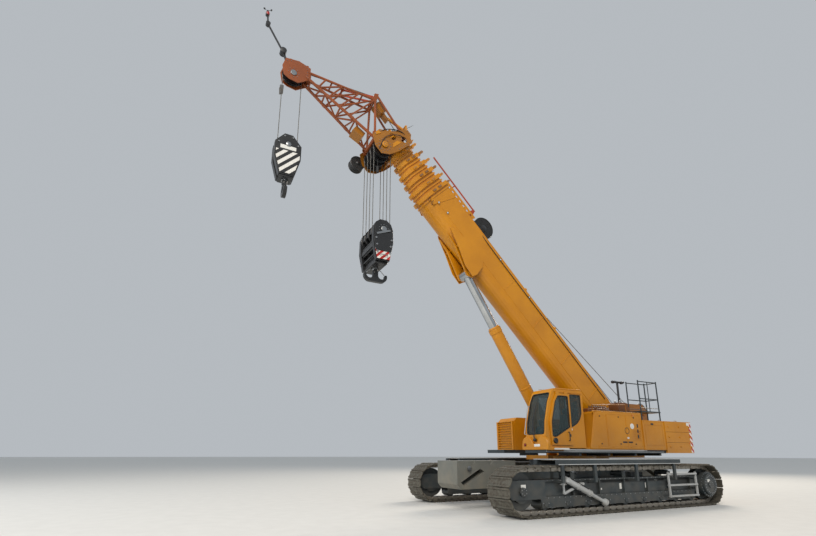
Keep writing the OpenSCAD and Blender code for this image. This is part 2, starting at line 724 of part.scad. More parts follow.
module door_window(d) polygon([[door_x + 80 + d, cab_z0 + 640 + d], [cab_x - 340 - d, cab_z0 + 330 + d],
    [cab_x - 230 - d, cab_z0 + 360 + d], [cab_x - 235 - d, cab_z0 + 800],
    [cab_x - cab_lean * 0.5 - 230 - d, cab_z1 - 420], [cab_x - cab_lean - 180 - d, cab_z1 - 230 - d],
    [door_x + 80 + d, cab_z1 - 230 - d]]);

module cab_door_glass() color("#22303A")
    translate([0, cab_in + slip + (door_t + pane_t) / 2, 0]) rotate([90, 0, 0])
        linear_extrude(pane_t) door_window(seat);

module cab_seat() {
    z0 = cab_z0 + cab_wall + seat;
    y = (cab_yr + cab_in) / 2;
    x = cab_r + 560;
    color(black) {
        box(x - 180, x + 180, y - 180, y + 180, z0, z0 + 260);
        box(x - 250, x + 260, y - 260, y + 260, z0 + 259, z0 + 400);
        plate_y(y - 250, y + 250, [[x - 260, z0 + 399], [x - 130, z0 + 399], [x - 220, z0 + 1080],
            [x - 320, z0 + 1080]]);
        both_sides_of(y) box(x - 200, x + 220, y + 290, y + 370, z0 + 480, z0 + 560);
        both_sides_of(y) box(x - 100, x + 100, y + 250, y + 300, z0 + 330, z0 + 540);
    }
}
module both_sides_of(y) { children(); translate([0, 2 * y, 0]) mirror([0, 1, 0]) children(); }

module cab_console() {
    z0 = cab_z0 + cab_wall + seat;
    y = (cab_yr + cab_in) / 2;
    color(black) {
        plate_y(y - 180, y + 180, [[cab_x - 330, z0], [cab_x - 180, z0], [cab_x - 170, z0 + 520],
            [cab_x - 240, z0 + 620], [cab_x - 330, z0 + 560]]);
        bar([cab_x - 260, y, z0 + 560], [cab_x - 420, y, z0 + 700], 44);
        translate([cab_x - 420, y, z0 + 700]) rotate([0, -40, 0]) rotate_extrude($fn = 48)
            translate([150, 0]) circle(r = 16, $fn = 24);
        bar([cab_x - 420, y - 150, z0 + 700], [cab_x - 420, y + 150, z0 + 700], 28);
    }
}

// Winches, railing and the pieces on the rear deck

module drum() {
    bar_y(drum_r, -drum_w / 2, drum_w / 2);
    for (y = [-drum_w / 2 - 30, drum_w / 2]) translate([0, y, 0]) bar_y(drum_flange_r, 0, 30);
    bar_y(80, -drum_w / 2 - 90, drum_w / 2 + 90);
}

module winch_drum(i) color(rope_grey) translate([-winch_x - i * winch_gap, 0, winch_z]) drum();

module winch_frame() {
    y0 = drum_w / 2 + 30 + slip;
    rear = -winch_x - winch_gap - 350;
    base_z = frame_z + 700 + 2 * seat;
    color(paint_dark) {
        both_sides() difference() {
            union() {
                plate_y(y0, y0 + 50, [[rear + 40, weight_z1 + seat], [weight_x, weight_z1 + seat],
                    [weight_x + 1, base_z + 300], [-winch_x + 420, base_z + 300], [-winch_x + 300, winch_z + 120],
                    [-winch_x + 120, winch_z + 300], [rear + 300, winch_z + 300], [rear + 40, winch_z]]);
                box(-winch_x - 300, -winch_x + 300, y0, hood_in - seat, base_z + 320, base_z + 380);
            }
            for (i = [0, 1]) translate([-winch_x - i * winch_gap, 0, winch_z]) bar_y(80 + seat, y0 - 1, y0 + 51);
        }
        for (p = [[-winch_x + 330, base_z + 420], [rear + 90, weight_z1 + 95]])
            translate([p[0], 0, p[1]]) bar_y(40, -y0 - 10, y0 + 10);
    }
}

module rear_railing() {
    d = 42;
    x0 = -3530;
    x1 = -2480;
    y0 = 900;
    y1 = 1440;
    floor_z = weight_z1 + 295;
    top_z = floor_z + 1140;
    color(frame_grey) {
        box(x0, x1, y0, y1, floor_z, floor_z + 40);
        for (x = [x0 + 30, x1 - 30], y = [y0 + 30, y1 - 30]) {
            bar([x, y, weight_z1 + seat], [x, y, top_z], d);
        }
        for (y = [y0 + 30, y1 - 30], z = [floor_z + 480, top_z - d])
            bar([x0 + 30, y, z], [x1 - 30, y, z], d - 8);
        for (z = [floor_z + 480, top_z - d]) bar([x0 + 30, y0 + 30, z], [x0 + 30, y1 - 30, z], d - 8);
        bar([(x0 + x1) / 2, y1 - 30, floor_z + 20], [(x0 + x1) / 2, y1 - 30, top_z - d], d - 14);
    }
}

module deck_units() {
    // valve chest, oil cooler box and pipes between the boom's foot and the left hood's top
    color("#8A3A24") {
        box(-1500, -700, hood_in + 40, hood_in + 420, hood_z + seat, hood_z + 110);
        box(-2280, -1700, hood_in + 60, hood_in + 560, hood_z + seat, hood_z + 240);
        for (i = [0 : 3]) bar([-1720, hood_in + 110 + i * 90, hood_z + 66],
            [-1480, hood_in + 110 + i * 90, hood_z + 66], 46);
    }
    // camera mast
    color(black) {
        bar([-2325, 700, hood_z + seat], [-2325, 700, 4190], 50);
        bar([-2600, 700, 4195], [-2060, 700, 4195], 60);
    }
}

// Boom

// Cross-section of a boom section: flat top with cut corners, round underside; columns are y and z
function ovaloid(w, top, bot) =
    let (r = w, cz = -bot + r * 0.92, cut = w * 0.16)
    concat([[w - cut, top], [-w + cut, top], [-w, top - cut]],
        [for (a = [180 : 15 : 360]) [w * cos(a), cz + (a == 180 || a == 360 ? 0 : r * 0.92 * sin(a))]],
        [[w, top - cut]]);

module boom_bar(s0, s1, w, top, bot) translate([s0, 0, 0]) rotate([90, 0, 90])
    linear_extrude(s1 - s0) polygon(ovaloid(w, top, bot));

function sec_w(i) = base_w - i * step_w;
function sec_top(i) = base_top - i * step_top;
function sec_bot(i) = base_bot - i * step_bot;
function sec_front(i) = base_l + i * collar_gap;
function sec_rear(i) = i == 0 ? -base_tail : tele_rear + (i - 1) * 110;

// Tube i with a collar at its front that guides the next tube, and shoes round its own tail
module boom_tube(i, last = false) {
    w = sec_w(i);
    top = sec_top(i);
    bot = sec_bot(i);
    s0 = sec_rear(i);
    s1 = sec_front(i);
    lip = 60;
    tail = 90;
    difference() {
        union() {
            boom_bar(s0, s1, w, top, bot);
            boom_bar(s1 - collar_l, s1, w + collar_out, top + collar_out, bot + collar_out);
            boom_bar(s1 - 1.9 * collar_l, s1 - 1.5 * collar_l, w + collar_out / 2, top + collar_out / 2,
                bot + collar_out / 2);
            if (i > 0) boom_bar(s0, s0 + tail, w + step_w - tube_wall - seat, top + step_top - tube_wall - seat,
                bot + step_bot - tube_wall - seat);
        }
        boom_bar(s0 + (i == 0 ? tube_wall : -1), s1 - lip, w - tube_wall, top - tube_wall, bot - tube_wall);
        if (last) boom_bar(s1 - lip - 1, s1 + 1, w - tube_wall, top - tube_wall, bot - tube_wall);
        else boom_bar(s1 - lip - 1, s1 + 1, sec_w(i + 1) + seat, sec_top(i + 1) + seat, sec_bot(i + 1) + seat);
    }
}

module boom_base() {
    gusset = [[lug_s + 1640, -base_bot + 190], [lug_s + 1560, -base_bot + 140], [lug_s + 930, -lug_v + 130],
        [lug_s + 300, -lug_v - 130], [lug_s - 130, -lug_v - 160], [lug_s - 190, -lug_v + 40],
        [lug_s - 130, -base_bot + 220], [lug_s + 130, -180], [lug_s + 1020, -340]];
    color(paint) on_boom() difference() {
        union() {
            boom_tube(0);
            bar_y(pivot_r + 70, -base_w - 4, base_w + 4);
            // lug plates of the lifting cylinder, gussets up the sides
            both_sides() {
                plate_y(lug_in, lug_in + 70, [[lug_s + 1500, -base_bot + 5], [lug_s + 1000, -base_bot - 60],
                    [lug_s + 220, -lug_v - 130], [lug_s, -lug_v - 200], [lug_s - 190, -lug_v - 60],
                    [lug_s - 200, -lug_v + 60], [lug_s - 230, -base_bot + 5]]);
                plate_y(base_w - 10, base_w + 16, gusset);
                for (s = [lug_s + 260, lug_s + 950]) {
                    box(s, s + 40, 200, base_w - 5, -base_bot - 40, -base_bot + 60);
                    box(s, s + 40, 330, base_w - 5, -base_bot + 59, -base_bot + 160);
                }
            }
            translate([lug_s, 0, -lug_v]) bar_y(70, -260, 260);
            // perforated rope guard along the top's left edge
            for (k = [0 : 7]) box(base_l - 1620 + k * 200, base_l - 1500 + k * 200, base_w - 110, base_w - 90,
                base_top - 10, base_top + 150);
            box(base_l - 1640, base_l - 80, base_w - 110, base_w - 90, base_top + 110, base_top + 180);
            box(base_l - 1640, base_l - 80, base_w - 110, base_w - 90, base_top - 10, base_top + 40);
        }
        bar_y(pivot_r + seat, -base_w - 20, base_w + 20);
    }
}

module boom_section(i) color(paint) on_boom() boom_tube(i, i == tele_n);

module sheave_2d(r, w) polygon([[60, -w / 2], [r - 60, -w / 2 + 12], [r + 28, -w / 2], [r + 28, -w / 2 + 4],
    [r - rope_r - seat, -rope_r - 1], [r - rope_r - seat, rope_r + 1], [r + 28, w / 2 - 4], [r + 28, w / 2],
    [r - 60, w / 2 - 12], [60, w / 2]]);
module sheave(r, w, bore) rotate([90, 0, 0]) rotate_extrude($fn = 72) difference() {
    sheave_2d(r, w);
    translate([0, -w]) square([bore, 2 * w]);
}
sheave_w = 64;
axle_r = 62;
sheave_ys = [for (k = [0 : sheave_n - 1]) (k - (sheave_n - 1) / 2) * sheave_gap];

module head_sheaves() color(black) on_boom() translate([head_s, 0, -head_v]) {
    difference() {
        union() {
            for (y = sheave_ys) translate([0, y, 0]) sheave(sheave_r, sheave_w, 60);
            bar_y(axle_r + 30, sheave_ys[0], sheave_ys[sheave_n - 1]);
        }
        bar_y(axle_r + seat, -head_w, head_w);
    }
}

head_plate = 30;                               // thickness of the head's cheeks

module boom_head() {
    s0 = sec_front(tele_n);
    color(paint) on_boom() {
        both_sides() {
            // outer cheek from the last section down to the sheaves and the jib's foot
            difference() {
                plate_y(head_w - head_plate, head_w, [[s0 - 60, sec_top(tele_n) - 120], [s0 + 90, sec_top(tele_n) - 60],
                    [s0 + 190, sec_top(tele_n) + 60], [s0 + 370, sec_top(tele_n) + 60], [s0 + 450, sec_top(tele_n) - 60],
                    [head_s + 240, -240], [head_s + 510, -600], [head_s + 490, -head_v - 100],
                    [head_s + 150, -head_v - 300], [head_s - 150, -head_v - 300], [head_s - 330, -head_v - 60],
                    [s0 - 60, -sec_bot(tele_n) - 40]]);
                for (p = [[s0 + 170, -40, 110], [head_s + 90, -345, 120]]) translate([p[0], 0, p[1]])
                    bar_y(p[2], head_w - head_plate - 1, head_w + 1);
            }
            plate_y(sec_w(tele_n) + collar_out + seat, head_w - head_plate + 1, [[s0 + 2, -sec_bot(tele_n) - 20],
                [s0 + 32, -sec_bot(tele_n) - 20], [s0 + 32, sec_top(tele_n) + 20], [s0 + 2, sec_top(tele_n) + 20]]);
        }
        // front wall that closes the last section, and cross plates
        box(s0 + seat, s0 + 40, -head_w + 5, head_w - 5, -sec_bot(tele_n) - 30, sec_top(tele_n) - 130);
        box(s0 + seat, s0 + 40, -sec_w(tele_n) - 40, sec_w(tele_n) + 40, sec_top(tele_n) - 131, sec_top(tele_n) + 30);
        box(s0 + 380, s0 + 420, -head_w + 5, head_w - 5, -200, sec_top(tele_n) - 40);
        translate([head_s, 0, -head_v]) bar_y(axle_r, -head_w - 20, head_w + 20);
        for (k = [0 : sheave_n - 2]) {
            y = (sheave_ys[k] + sheave_ys[k + 1]) / 2;
            plate_y(y - 10, y + 10, [[s0 + 38, -200], [s0 + 38, -sec_bot(tele_n) - 25], [head_s - 60, -560],
                [head_s + 100, -520], [s0 + 400, -200]]);
        }
    }
}

// Jib: a tapering lattice in the boom's own frame, columns of the nodes are s, half width and v
foot_low = [head_s + 410, jib_w0, -770];
tip_low = [tip_s - 300, jib_w1, -1300];
foot_top = [head_s + 1500, 260, 330];
tip_top = [tip_s - 170, jib_w1, -1130];
beam_foot = [head_s - 60, 300, sec_top(tele_n) + 5];
apex = foot_top + [150, 0, 190];              // top of the frame that holds the tie bars
bays = 4;
pin_r = 32;
mast_foot = [180, 410];                       // cross tube of the light mast, from the tip sheave
function mix(a, b, t) = a + (b - a) * t;
function low_at(t) = mix(foot_low, tip_low, t);
function top_at(t) = mix(foot_top, tip_top, t);
tie_end = mix(top_at(0.5), low_at(0.62), 0.12) + [0, 0, 70];

module jib_frame() color("#C0621C") {
    on_boom() {
        both_sides() {
            bar(low_at(0), low_at(1), chord_d);
            bar(top_at(0), top_at(1), chord_d * 0.8);
            // frame over the boom's head that holds the top chords up
            bar(foot_low, foot_top, chord_d * 0.8);
            bar(beam_foot, apex, chord_d * 0.8);
            bar(foot_top, apex, chord_d * 0.7);
            bar(top_at(0.5), tie_end, brace_d);
            for (k = [1 : bays]) {
                low = low_at(0.38 + 0.62 * (k - 1) / bays);
                bar(low, top_at((k - 1) / bays), brace_d);
                if (k < bays) bar(low_at(0.38 + 0.62 * k / bays), top_at((k - 1) / bays), brace_d);
            }
        }
        // foot tubes that bear against the cheeks of the boom's head
        for (p = [foot_low, beam_foot]) translate([p[0], 0, p[2]])
            bar_y(p == foot_low ? 60 : 40, -head_w + head_plate + seat, head_w - head_plate - seat);
        // cross members between the two sides
        for (t = [0.06, 0.3, 0.52, 0.74, 0.95]) bar(flip(low_at(t)), low_at(t), brace_d);
        for (t = [0, 0.2, 0.66, 0.97]) bar(flip(top_at(t)), top_at(t), brace_d);
        for (k = [0 : 3]) {
            a = low_at(0.06 + 0.23 * k);
            b = low_at(0.29 + 0.23 * k);
            bar(k % 2 == 0 ? flip(a) : a, k % 2 == 0 ? b : flip(b), brace_d);
        }
        for (p = [apex, tie_end]) translate([p[0], 0, p[2]]) bar_y(pin_r, -p[1], p[1]);
    }
    // head plates round the tip sheave, with its axle and the light mast's cross tube
    translate([tip_x, 0, tip_z]) {
        both_sides() plate_y(jib_w1 - 14, jib_w1 + 14, [[-520, 380], [-150, 500], [260, 450], [350, 150],
            [290, -160], [120, -260], [-160, -300], [-520, -40]]);
        bar_y(axle_r, -jib_w1, jib_w1);
        translate([mast_foot[0], 0, mast_foot[1]]) bar_y(pin_r, -jib_w1, jib_w1);
    }
}
function flip(p) = [p[0], -p[1], p[2]];

// Flat tie bars with an eye at each end, pinned beside the two cross tubes' ends
module jib_ties() color("#A8401C") on_boom() both_sides() {
    y = min(apex[1], tie_end[1]) - 110;
    difference() {
        union() {
            for (p = [apex, tie_end]) translate([p[0], 0, p[2]]) bar_y(62, y, y + 26);
            dir = tie_end - apex;
            translate([apex[0], y, apex[2]]) rotate([0, -atan2(dir[2], dir[0]), 0])
                translate([0, 0, -32]) cube([norm([dir[0], dir[2]]), 26, 64]);
        }
        for (p = [apex, tie_end]) translate([p[0], 0, p[2]]) bar_y(pin_r + seat, y - 1, y + 27);
    }
}

module jib_tip_sheave() color(black) translate([tip_x, 0, tip_z]) sheave(sheave_r, sheave_w, axle_r + seat);

module light_mast() color(black) translate([tip_x, 0, tip_z]) {
    foot = [mast_foot[0], 0, mast_foot[1]];
    base = [340, 0, 790];
    knee = [860, 0, 1620];
    difference() {
        union() {
            bar(foot, base, 70);
            translate(foot) bar_y(52, -40, 40);
        }
        translate(foot) bar_y(pin_r + seat, -60, 60);
    }
    translate(base) bar_y(95, -80, 80);
    bar(base, knee, 56);
    translate(knee) bar_y(70, -60, 60);
    bar(knee, [mast_x, 0, mast_top], 50);
    translate([mast_x, 0, mast_top]) bar_y(lamp_r, -50, 50);
}

// Cable reels: one stands on the base section's top, one beside the boom's head
module boom_reel() color(black) on_boom() translate([base_l - 2120, 0, base_top + seat]) {
    translate([0, 0, 400]) bar_y(390, -110, 110);
    translate([0, 0, 400]) bar_y(60, -150, 150);
    both_sides() plate_y(130, 150, [[-180, 0], [180, 0], [60, 440], [-60, 440]]);
}
module head_reel() color(black) on_boom() translate([head_s + 290, 0, -head_v - 380])
    bar_y(230, -head_w - 240, -head_w - seat);

module guide_rail() color("#A8401C") on_boom() {
    y = base_w - 210;
    rear = base_l - 1470;
    bar([rear, y, base_top + 440], [base_l + 900, y, base_top + 440], 50);
    bar([base_l - 320, y, base_top + seat], [base_l - 320, y, base_top + 440], 38);
    plate_y(y - 12, y + 12, [[rear - 130, base_top + seat], [rear + 210, base_top + seat],
        [rear + 90, base_top + 440], [rear + 10, base_top + 440]]);
}

// Lifting cylinder, along its own line from the foot pin
module on_cylinder() translate([foot_x, 0, foot_z]) rotate([0, 90 - cyl_deg, 0]) children();
cyl_wall = 30;
eye_w = lug_in - seat;

module lift_barrel() color(paint) on_cylinder() {
    difference() {
        union() {
            translate([0, 0, 270]) cylinder(r = barrel_r, h = barrel_l - 270, $fn = 72);
            bar_y(145, -eye_w, eye_w);
            translate([0, 0, 100]) cylinder(r = 120, h = 180, $fn = 72);
        }
        translate([0, 0, 320]) cylinder(r = barrel_r - cyl_wall, h = barrel_l - 320 - 140, $fn = 72);
        translate([0, 0, barrel_l - 141]) cylinder(r = rod_r + seat, h = 142, $fn = 72);
    }
}

module lift_rod() color(silver) on_cylinder() {
    difference() {
        union() {
            translate([0, 0, cyl_l - rod_l]) cylinder(r = rod_r, h = rod_l - 100, $fn = 72);
            translate([0, 0, cyl_l - rod_l]) cylinder(r = barrel_r - cyl_wall - seat, h = 140, $fn = 72);
            translate([0, 0, cyl_l]) bar_y(170, -eye_w, eye_w);
        }
        translate([0, 0, cyl_l]) bar_y(70 + seat, -eye_w - 1, eye_w + 1);
    }
}

// Rope parts, blocks and hooks

module falls(ys, x, z, r, low) color(rope_grey) translate([x, 0, low])
    for (y = ys, side = [-1, 1]) translate([side * r, y, 0]) cylinder(r = rope_r, h = z - low, $fn = 24);

module block_sheaves(x, z, ys, reach) color(black) translate([x, 0, z]) difference() {
    union() {
        for (y = ys) translate([0, y, 0]) sheave(sheave_r, sheave_w, 60);
        if (len(ys) > 1) bar_y(axle_r + 30, ys[0], ys[len(ys) - 1]);
    }
    bar_y(axle_r + seat, -reach, reach);
}

// Body of a block: two heavy cheeks, an axle, guard bars and a crosshead. Columns are x and z
module block_body(half, cheek_t, cheek, bars) {
    bar_y(axle_r, -half - 1, half + 1);
    for (p = bars) translate([p[0], 0, p[1]]) bar_y(30, -half - 1, half + 1);
    difference() {
        union() {
            both_sides() plate_y(half, half + cheek_t, cheek);
            box(-150, 150, -half - 1, half + 1, -block_drop, -block_drop + 260);
        }
        translate([0, 0, -block_drop - 1]) cylinder(r = 75 + seat, h = 262, $fn = 48);
        translate([0, 0, -block_drop + 180]) cylinder(r = 120 + seat, h = 100, $fn = 48);
    }
}

main_half = sheave_ys[sheave_n - 1] + sheave_w / 2 + 20;
main_cheek = [[-110, 325], [110, 325], [250, 215], [320, 30], [320, -420], [215, -block_drop], [-215, -block_drop],
    [-320, -420], [-320, 30], [-250, 215]];
main_bars = [[-250, -340], [250, -340], [-225, -550], [225, -550], [-205, -760], [205, -760]];
fly_half = 60;
fly_cheek = [[-120, 350], [120, 350], [385, 40], [385, -430], [230, -block_drop], [-230, -block_drop],
    [-385, -430], [-385, 40]];
fly_bars = [[-280, -360], [280, -360], [-220, -610], [220, -610]];

module main_block() color(black) translate([head_x, 0, main_z]) block_body(main_half, 140, main_cheek, main_bars);
module jib_block() color(black) translate([tip_x, 0, fly_z]) block_body(fly_half, 170, fly_cheek, fly_bars);

module shank() {
    translate([0, 0, -200]) cylinder(r = 75, h = 440, $fn = 48);
    translate([0, 0, 180 + seat]) cylinder(r = 120, h = 50, $fn = 48);
}

// Double hook: two bowls side by side, open upwards, on one shank
module main_hook() color(black) translate([head_x, 0, main_z - block_drop]) {
    shank();
    rotate([90, 0, 0]) linear_extrude(120, center = true) {
        for (m = [0, 1]) mirror([m, 0]) difference() {
            union() {
                translate([185, -300]) circle(r = 195, $fn = 64);
                translate([0, -495]) square([185, 200]);
            }
            translate([195, -275]) circle(r = 115, $fn = 64);
            translate([195, -275]) square([230, 300]);
            translate([80, -275]) square([230, 300]);
        }
        translate([-80, -420]) square([160, 260]);
        for (m = [0, 1]) mirror([m, 0]) translate([342, -275]) circle(r = 38, $fn = 32);
    }
}

// Single hook in the plane across the block
module jib_hook() color(black) translate([tip_x, 0, fly_z - block_drop]) {
    shank();
    rotate([90, 0, 90]) linear_extrude(110, center = true) {
        difference() {
            translate([40, -420]) circle(r = 205, $fn = 64);
            translate([60, -400]) circle(r = 105, $fn = 64);
            translate([60, -400]) square([300, 400]);
        }
        polygon([[-75, -180], [75, -180], [70, -250], [0, -312], [-40, -372], [-120, -420], [-160, -380]]);
        translate([208, -400]) circle(r = 43, $fn = 32);
    }
}

placed() car_body();
placed() central_ballast();
placed() on_side(true) track_frame();  // track_frame_left
placed() on_side(false) track_frame();  // track_frame_right
placed() on_side(true) track();  // track_left
placed() on_side(false) track();  // track_right
placed() on_side(true) rollers();  // rollers_left
placed() on_side(false) rollers();  // rollers_right
placed() on_side(true) walkway();  // walkway_left
placed() on_side(false) walkway();  // walkway_right
placed() on_side(true) jack();  // jack_left
placed() on_side(false) jack();  // jack_right
placed() turntable();
placed() side_decks();
placed() left_hood();
placed() right_hood();
placed() front_louvres();
placed() rear_housing();
placed() counterweight();
placed() engine_block();
placed() cab_shell();
placed() cab_glass();
placed() cab_seat();
placed() cab_console();
placed() cab_door();
placed() cab_door_glass();
placed() winch_frame();
placed() winch_drum(0);  // winch_drum_front
placed() winch_drum(1);  // winch_drum_rear
placed() rear_railing();
placed() deck_units();
placed() boom_base();
placed() boom_section(1);  // boom_section_1
placed() boom_section(2);  // boom_section_2
placed() boom_section(3);  // boom_section_3
placed() boom_section(4);  // boom_section_4
placed() boom_section(5);  // boom_section_5
placed() boom_head();
placed() head_sheaves();
placed() head_reel();
placed() boom_reel();
placed() guide_rail();
placed() lift_barrel();
placed() lift_rod();
placed() jib_frame();
placed() jib_ties();
placed() jib_tip_sheave();
placed() light_mast();
placed() falls(sheave_ys, head_x, head_z, sheave_r, main_z);  // main_falls
placed() main_block();
placed() block_sheaves(head_x, main_z, sheave_ys, 700);  // main_block_sheaves
placed() main_hook();
placed() falls([0], tip_x, tip_z, sheave_r, fly_z);  // jib_falls
placed() jib_block();
placed() block_sheaves(tip_x, fly_z, [0], 300);  // jib_block_sheave
placed() jib_hook();
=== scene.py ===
# %% [markdown]
# # A crawler crane, dressed for its portrait
# The crane's solids come ready made, in metres, with +X forwards, +Y to the operator's left and the ground
# at Z = 0. This lesson gives them paint, steel, glass and rope, and adds the many small things that make a
# machine look real: shoes with ribs, bolts, seals, lamps, stripes, ropes. The frame is loaded first. Its
# joints and boxes give the landmarks, and every other place is a distance from one of them.

# %% Load the frame
import json
import math
import bmesh
import bpy
import mathutils
import numpy as np
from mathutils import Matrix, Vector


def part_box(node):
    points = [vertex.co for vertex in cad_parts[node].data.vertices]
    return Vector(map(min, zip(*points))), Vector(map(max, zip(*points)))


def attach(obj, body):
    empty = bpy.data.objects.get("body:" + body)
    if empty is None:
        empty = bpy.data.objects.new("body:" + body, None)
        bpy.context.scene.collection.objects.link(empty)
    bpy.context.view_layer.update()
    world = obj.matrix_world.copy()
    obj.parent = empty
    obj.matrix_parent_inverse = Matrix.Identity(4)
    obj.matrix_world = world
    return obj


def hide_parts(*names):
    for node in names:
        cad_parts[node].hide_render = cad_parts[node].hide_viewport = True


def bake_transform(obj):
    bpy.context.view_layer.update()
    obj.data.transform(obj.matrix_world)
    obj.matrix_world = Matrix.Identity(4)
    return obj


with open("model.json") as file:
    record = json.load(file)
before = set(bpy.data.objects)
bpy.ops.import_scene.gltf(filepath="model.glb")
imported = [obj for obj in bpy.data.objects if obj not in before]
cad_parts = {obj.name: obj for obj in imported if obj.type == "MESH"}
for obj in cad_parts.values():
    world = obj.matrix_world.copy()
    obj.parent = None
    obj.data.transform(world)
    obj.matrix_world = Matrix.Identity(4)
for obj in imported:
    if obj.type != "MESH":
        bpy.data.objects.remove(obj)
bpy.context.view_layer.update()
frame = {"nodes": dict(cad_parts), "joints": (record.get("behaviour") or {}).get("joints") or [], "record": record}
joints = {joint["name"]: joint for joint in frame["joints"]}

# %% [markdown]
# Places on a crane are easiest to name along its own parts. The boom has a line from its pivot to its head:
# `along_boom` turns a distance along that line, a sideways place and a height square to it into a point.
# The slewing axis is the other landmark, because everything on the superstructure is measured from it.

# %% Landmarks
def joint_at(name):
    """Where a joint turns or slides, as the frame has it."""
    return np.array(joints[name]["pos_m"])


SLEW_X = joint_at("slew")[0]
PIVOT = joint_at("boom_luff")
HEAD = joint_at("head_sheaves_turn")
TIP = joint_at("jib_tip_sheave_turn")
MAIN = joint_at("main_block_sheaves_turn")
FLY = joint_at("jib_block_sheave_turn")
BOOM_DIR = np.array(joints["telescope_1"]["axis"])
BOOM_UP = np.array([-BOOM_DIR[2], 0.0, BOOM_DIR[0]])
X, Y, Z = np.eye(3)


def from_axis(x, y, z):
    """A point x ahead of the slewing axis, y to the left of it and z above the ground."""
    return np.array([SLEW_X + x, y, z])


def along_boom(s, y, v):
    """The point s along the boom from its pivot, y to the left and v square to the boom, upwards."""
    return PIVOT + s * BOOM_DIR + y * Y + v * BOOM_UP


print("boom angle, degrees:", round(math.degrees(math.asin(BOOM_DIR[2])), 1))

# %% [markdown]
# ## Shapes from formulas
# A piece is a pair: an array of points and a list of faces. `grid` joins a sheet of points into quads,
# `tube` carries a circle along a path, `prism` carries any outline along one direction, and `block` is a
# prism over a rectangle. They all return plain arrays, so shapes can be copied and moved with ordinary
# arithmetic before Blender sees them, which is both quick and easy to read.

# %% Grids, joining and placing
def grid(points, closed_u=False, closed_v=False):
    """Quads over points[i, j]: rows i and columns j are joined to the next ones, and round if closed."""
    m, n = points.shape[:2]
    i, j = np.meshgrid(np.arange(m if closed_u else m - 1), np.arange(n if closed_v else n - 1),
                       indexing="ij")
    i2, j2 = (i + 1) % m, (j + 1) % n
    quads = np.stack([i * n + j, i2 * n + j, i2 * n + j2, i * n + j2], -1).reshape(-1, 4)
    return points.reshape(-1, 3), quads.tolist()


def lidded(points, closed_u=False):
    """A grid that is closed round its columns, with a flat lid on its first row and on its last."""
    shape, faces = grid(points, closed_u, True)
    n = points.shape[1]
    first = np.arange(n)
    lids = [] if closed_u else [first.tolist(), (len(shape) - n + first).tolist()]
    return shape, faces + lids


def join(shapes):
    """One shape from several: the faces of each are counted on from the points before it."""
    points, faces, count = [], [], 0
    for shape_points, shape_faces in shapes:
        points.append(shape_points)
        faces += [[k + count for k in face] for face in shape_faces]
        count += len(shape_points)
    return np.concatenate(points), faces


def moved(shape, by):
    """The same shape, every point moved by one step."""
    return shape[0] + np.asarray(by), shape[1]


def both_sides(shapes):
    """The shapes and their mirror images across the crane's middle plane."""
    return list(shapes) + [(points * [1, -1, 1], faces) for points, faces in shapes]


def unit(v):
    """The vector, or each row of vectors, divided by its length."""
    v = np.asarray(v, float)
    return v / np.linalg.norm(v, axis=-1, keepdims=True)


def square_to(direction):
    """Two unit vectors square to a direction, or to each row of directions, and to each other."""
    direction = np.asarray(direction, float)
    least = np.abs(direction.reshape(-1, 3)).max(0).argmin()
    side = unit(np.cross(np.eye(3)[least], direction))
    return side, np.cross(direction, side)


def even_turn(count):
    """So many angles evenly round a full turn."""
    return np.linspace(0, 2 * np.pi, count, endpoint=False)


# %% Tubes and turned shapes
def tube(path, radius, sides=12):
    """A circle of the given radius (or one radius a point) carried along a path, square to it all the way."""
    path = np.asarray(path, float)
    radius = np.broadcast_to(np.asarray(radius, float), len(path))[:, None, None]
    side, up = square_to(unit(np.gradient(path, axis=0)))
    angle = even_turn(sides)[None, :, None]
    return lidded(path[:, None] + radius * (np.cos(angle) * side[:, None] + np.sin(angle) * up[:, None]))


POINT_R = 0.0001


def spin(centre, axis, profile, sides=32):
    """A profile of (distance along the axis, radius) turned once round the axis, closed at both ends."""
    axis, profile = unit(axis), np.asarray(profile, float)
    side, up = square_to(axis)
    angle = even_turn(sides)[:, None]
    ring = np.cos(angle) * side + np.sin(angle) * up
    rows = np.asarray(centre) + profile[:, 0, None, None] * axis + profile[:, 1, None, None] * ring
    return lidded(rows)


def rod(end, axis, radius, length, sides):
    """A plain round rod that starts at a point."""
    return spin(end, axis, [(0, radius), (length, radius)], sides)


def cap(centre, normal, radii, heights, sides):
    """A round cap: the first radius up to the first height, then drawn in to the second at the second."""
    return spin(centre, normal, [(0, radii[0]), (heights[0], radii[0]), (heights[1], radii[1])], sides)


def disc(centre, normal, radius, height, sides=6):
    """A low prism on a round or six-sided foot with a chamfered top, such as a bolt's head."""
    return cap(centre, normal, (radius, radius * 0.85), (height * 0.8, height), sides)


def ring(centre, normal, radius, thick, sides=32, around=8):
    """A round bar bent to a circle: a small circle of the bar's radius carried round a large one."""
    side, up = square_to(unit(normal))
    a = even_turn(sides)[:, None, None]
    b = even_turn(around)[None, :, None]
    out = np.cos(a) * side + np.sin(a) * up
    rows = np.asarray(centre) + (radius + thick * np.cos(b)) * out + thick * np.sin(b) * unit(normal)
    return lidded(rows, closed_u=True)


# %% Prisms, blocks and plates
def inset(outline, by):
    """The outline drawn in by a distance: each corner moves along the mitre of its two edges."""
    ahead = unit(np.roll(outline, -1, 0) - outline)
    normal = np.stack([ahead[:, 1], -ahead[:, 0]], -1)
    before = np.roll(normal, 1, 0)
    return outline - by * (normal + before) / (1 + np.sum(normal * before, 1, keepdims=True))


def against_clock(outline):
    """The outline turned so that it runs against the clock, which drawing it in needs."""
    x, y = outline = np.asarray(outline, float).T
    return outline.T if np.sum(x * np.roll(y, -1) - y * np.roll(x, -1)) >= 0 else outline.T[::-1]


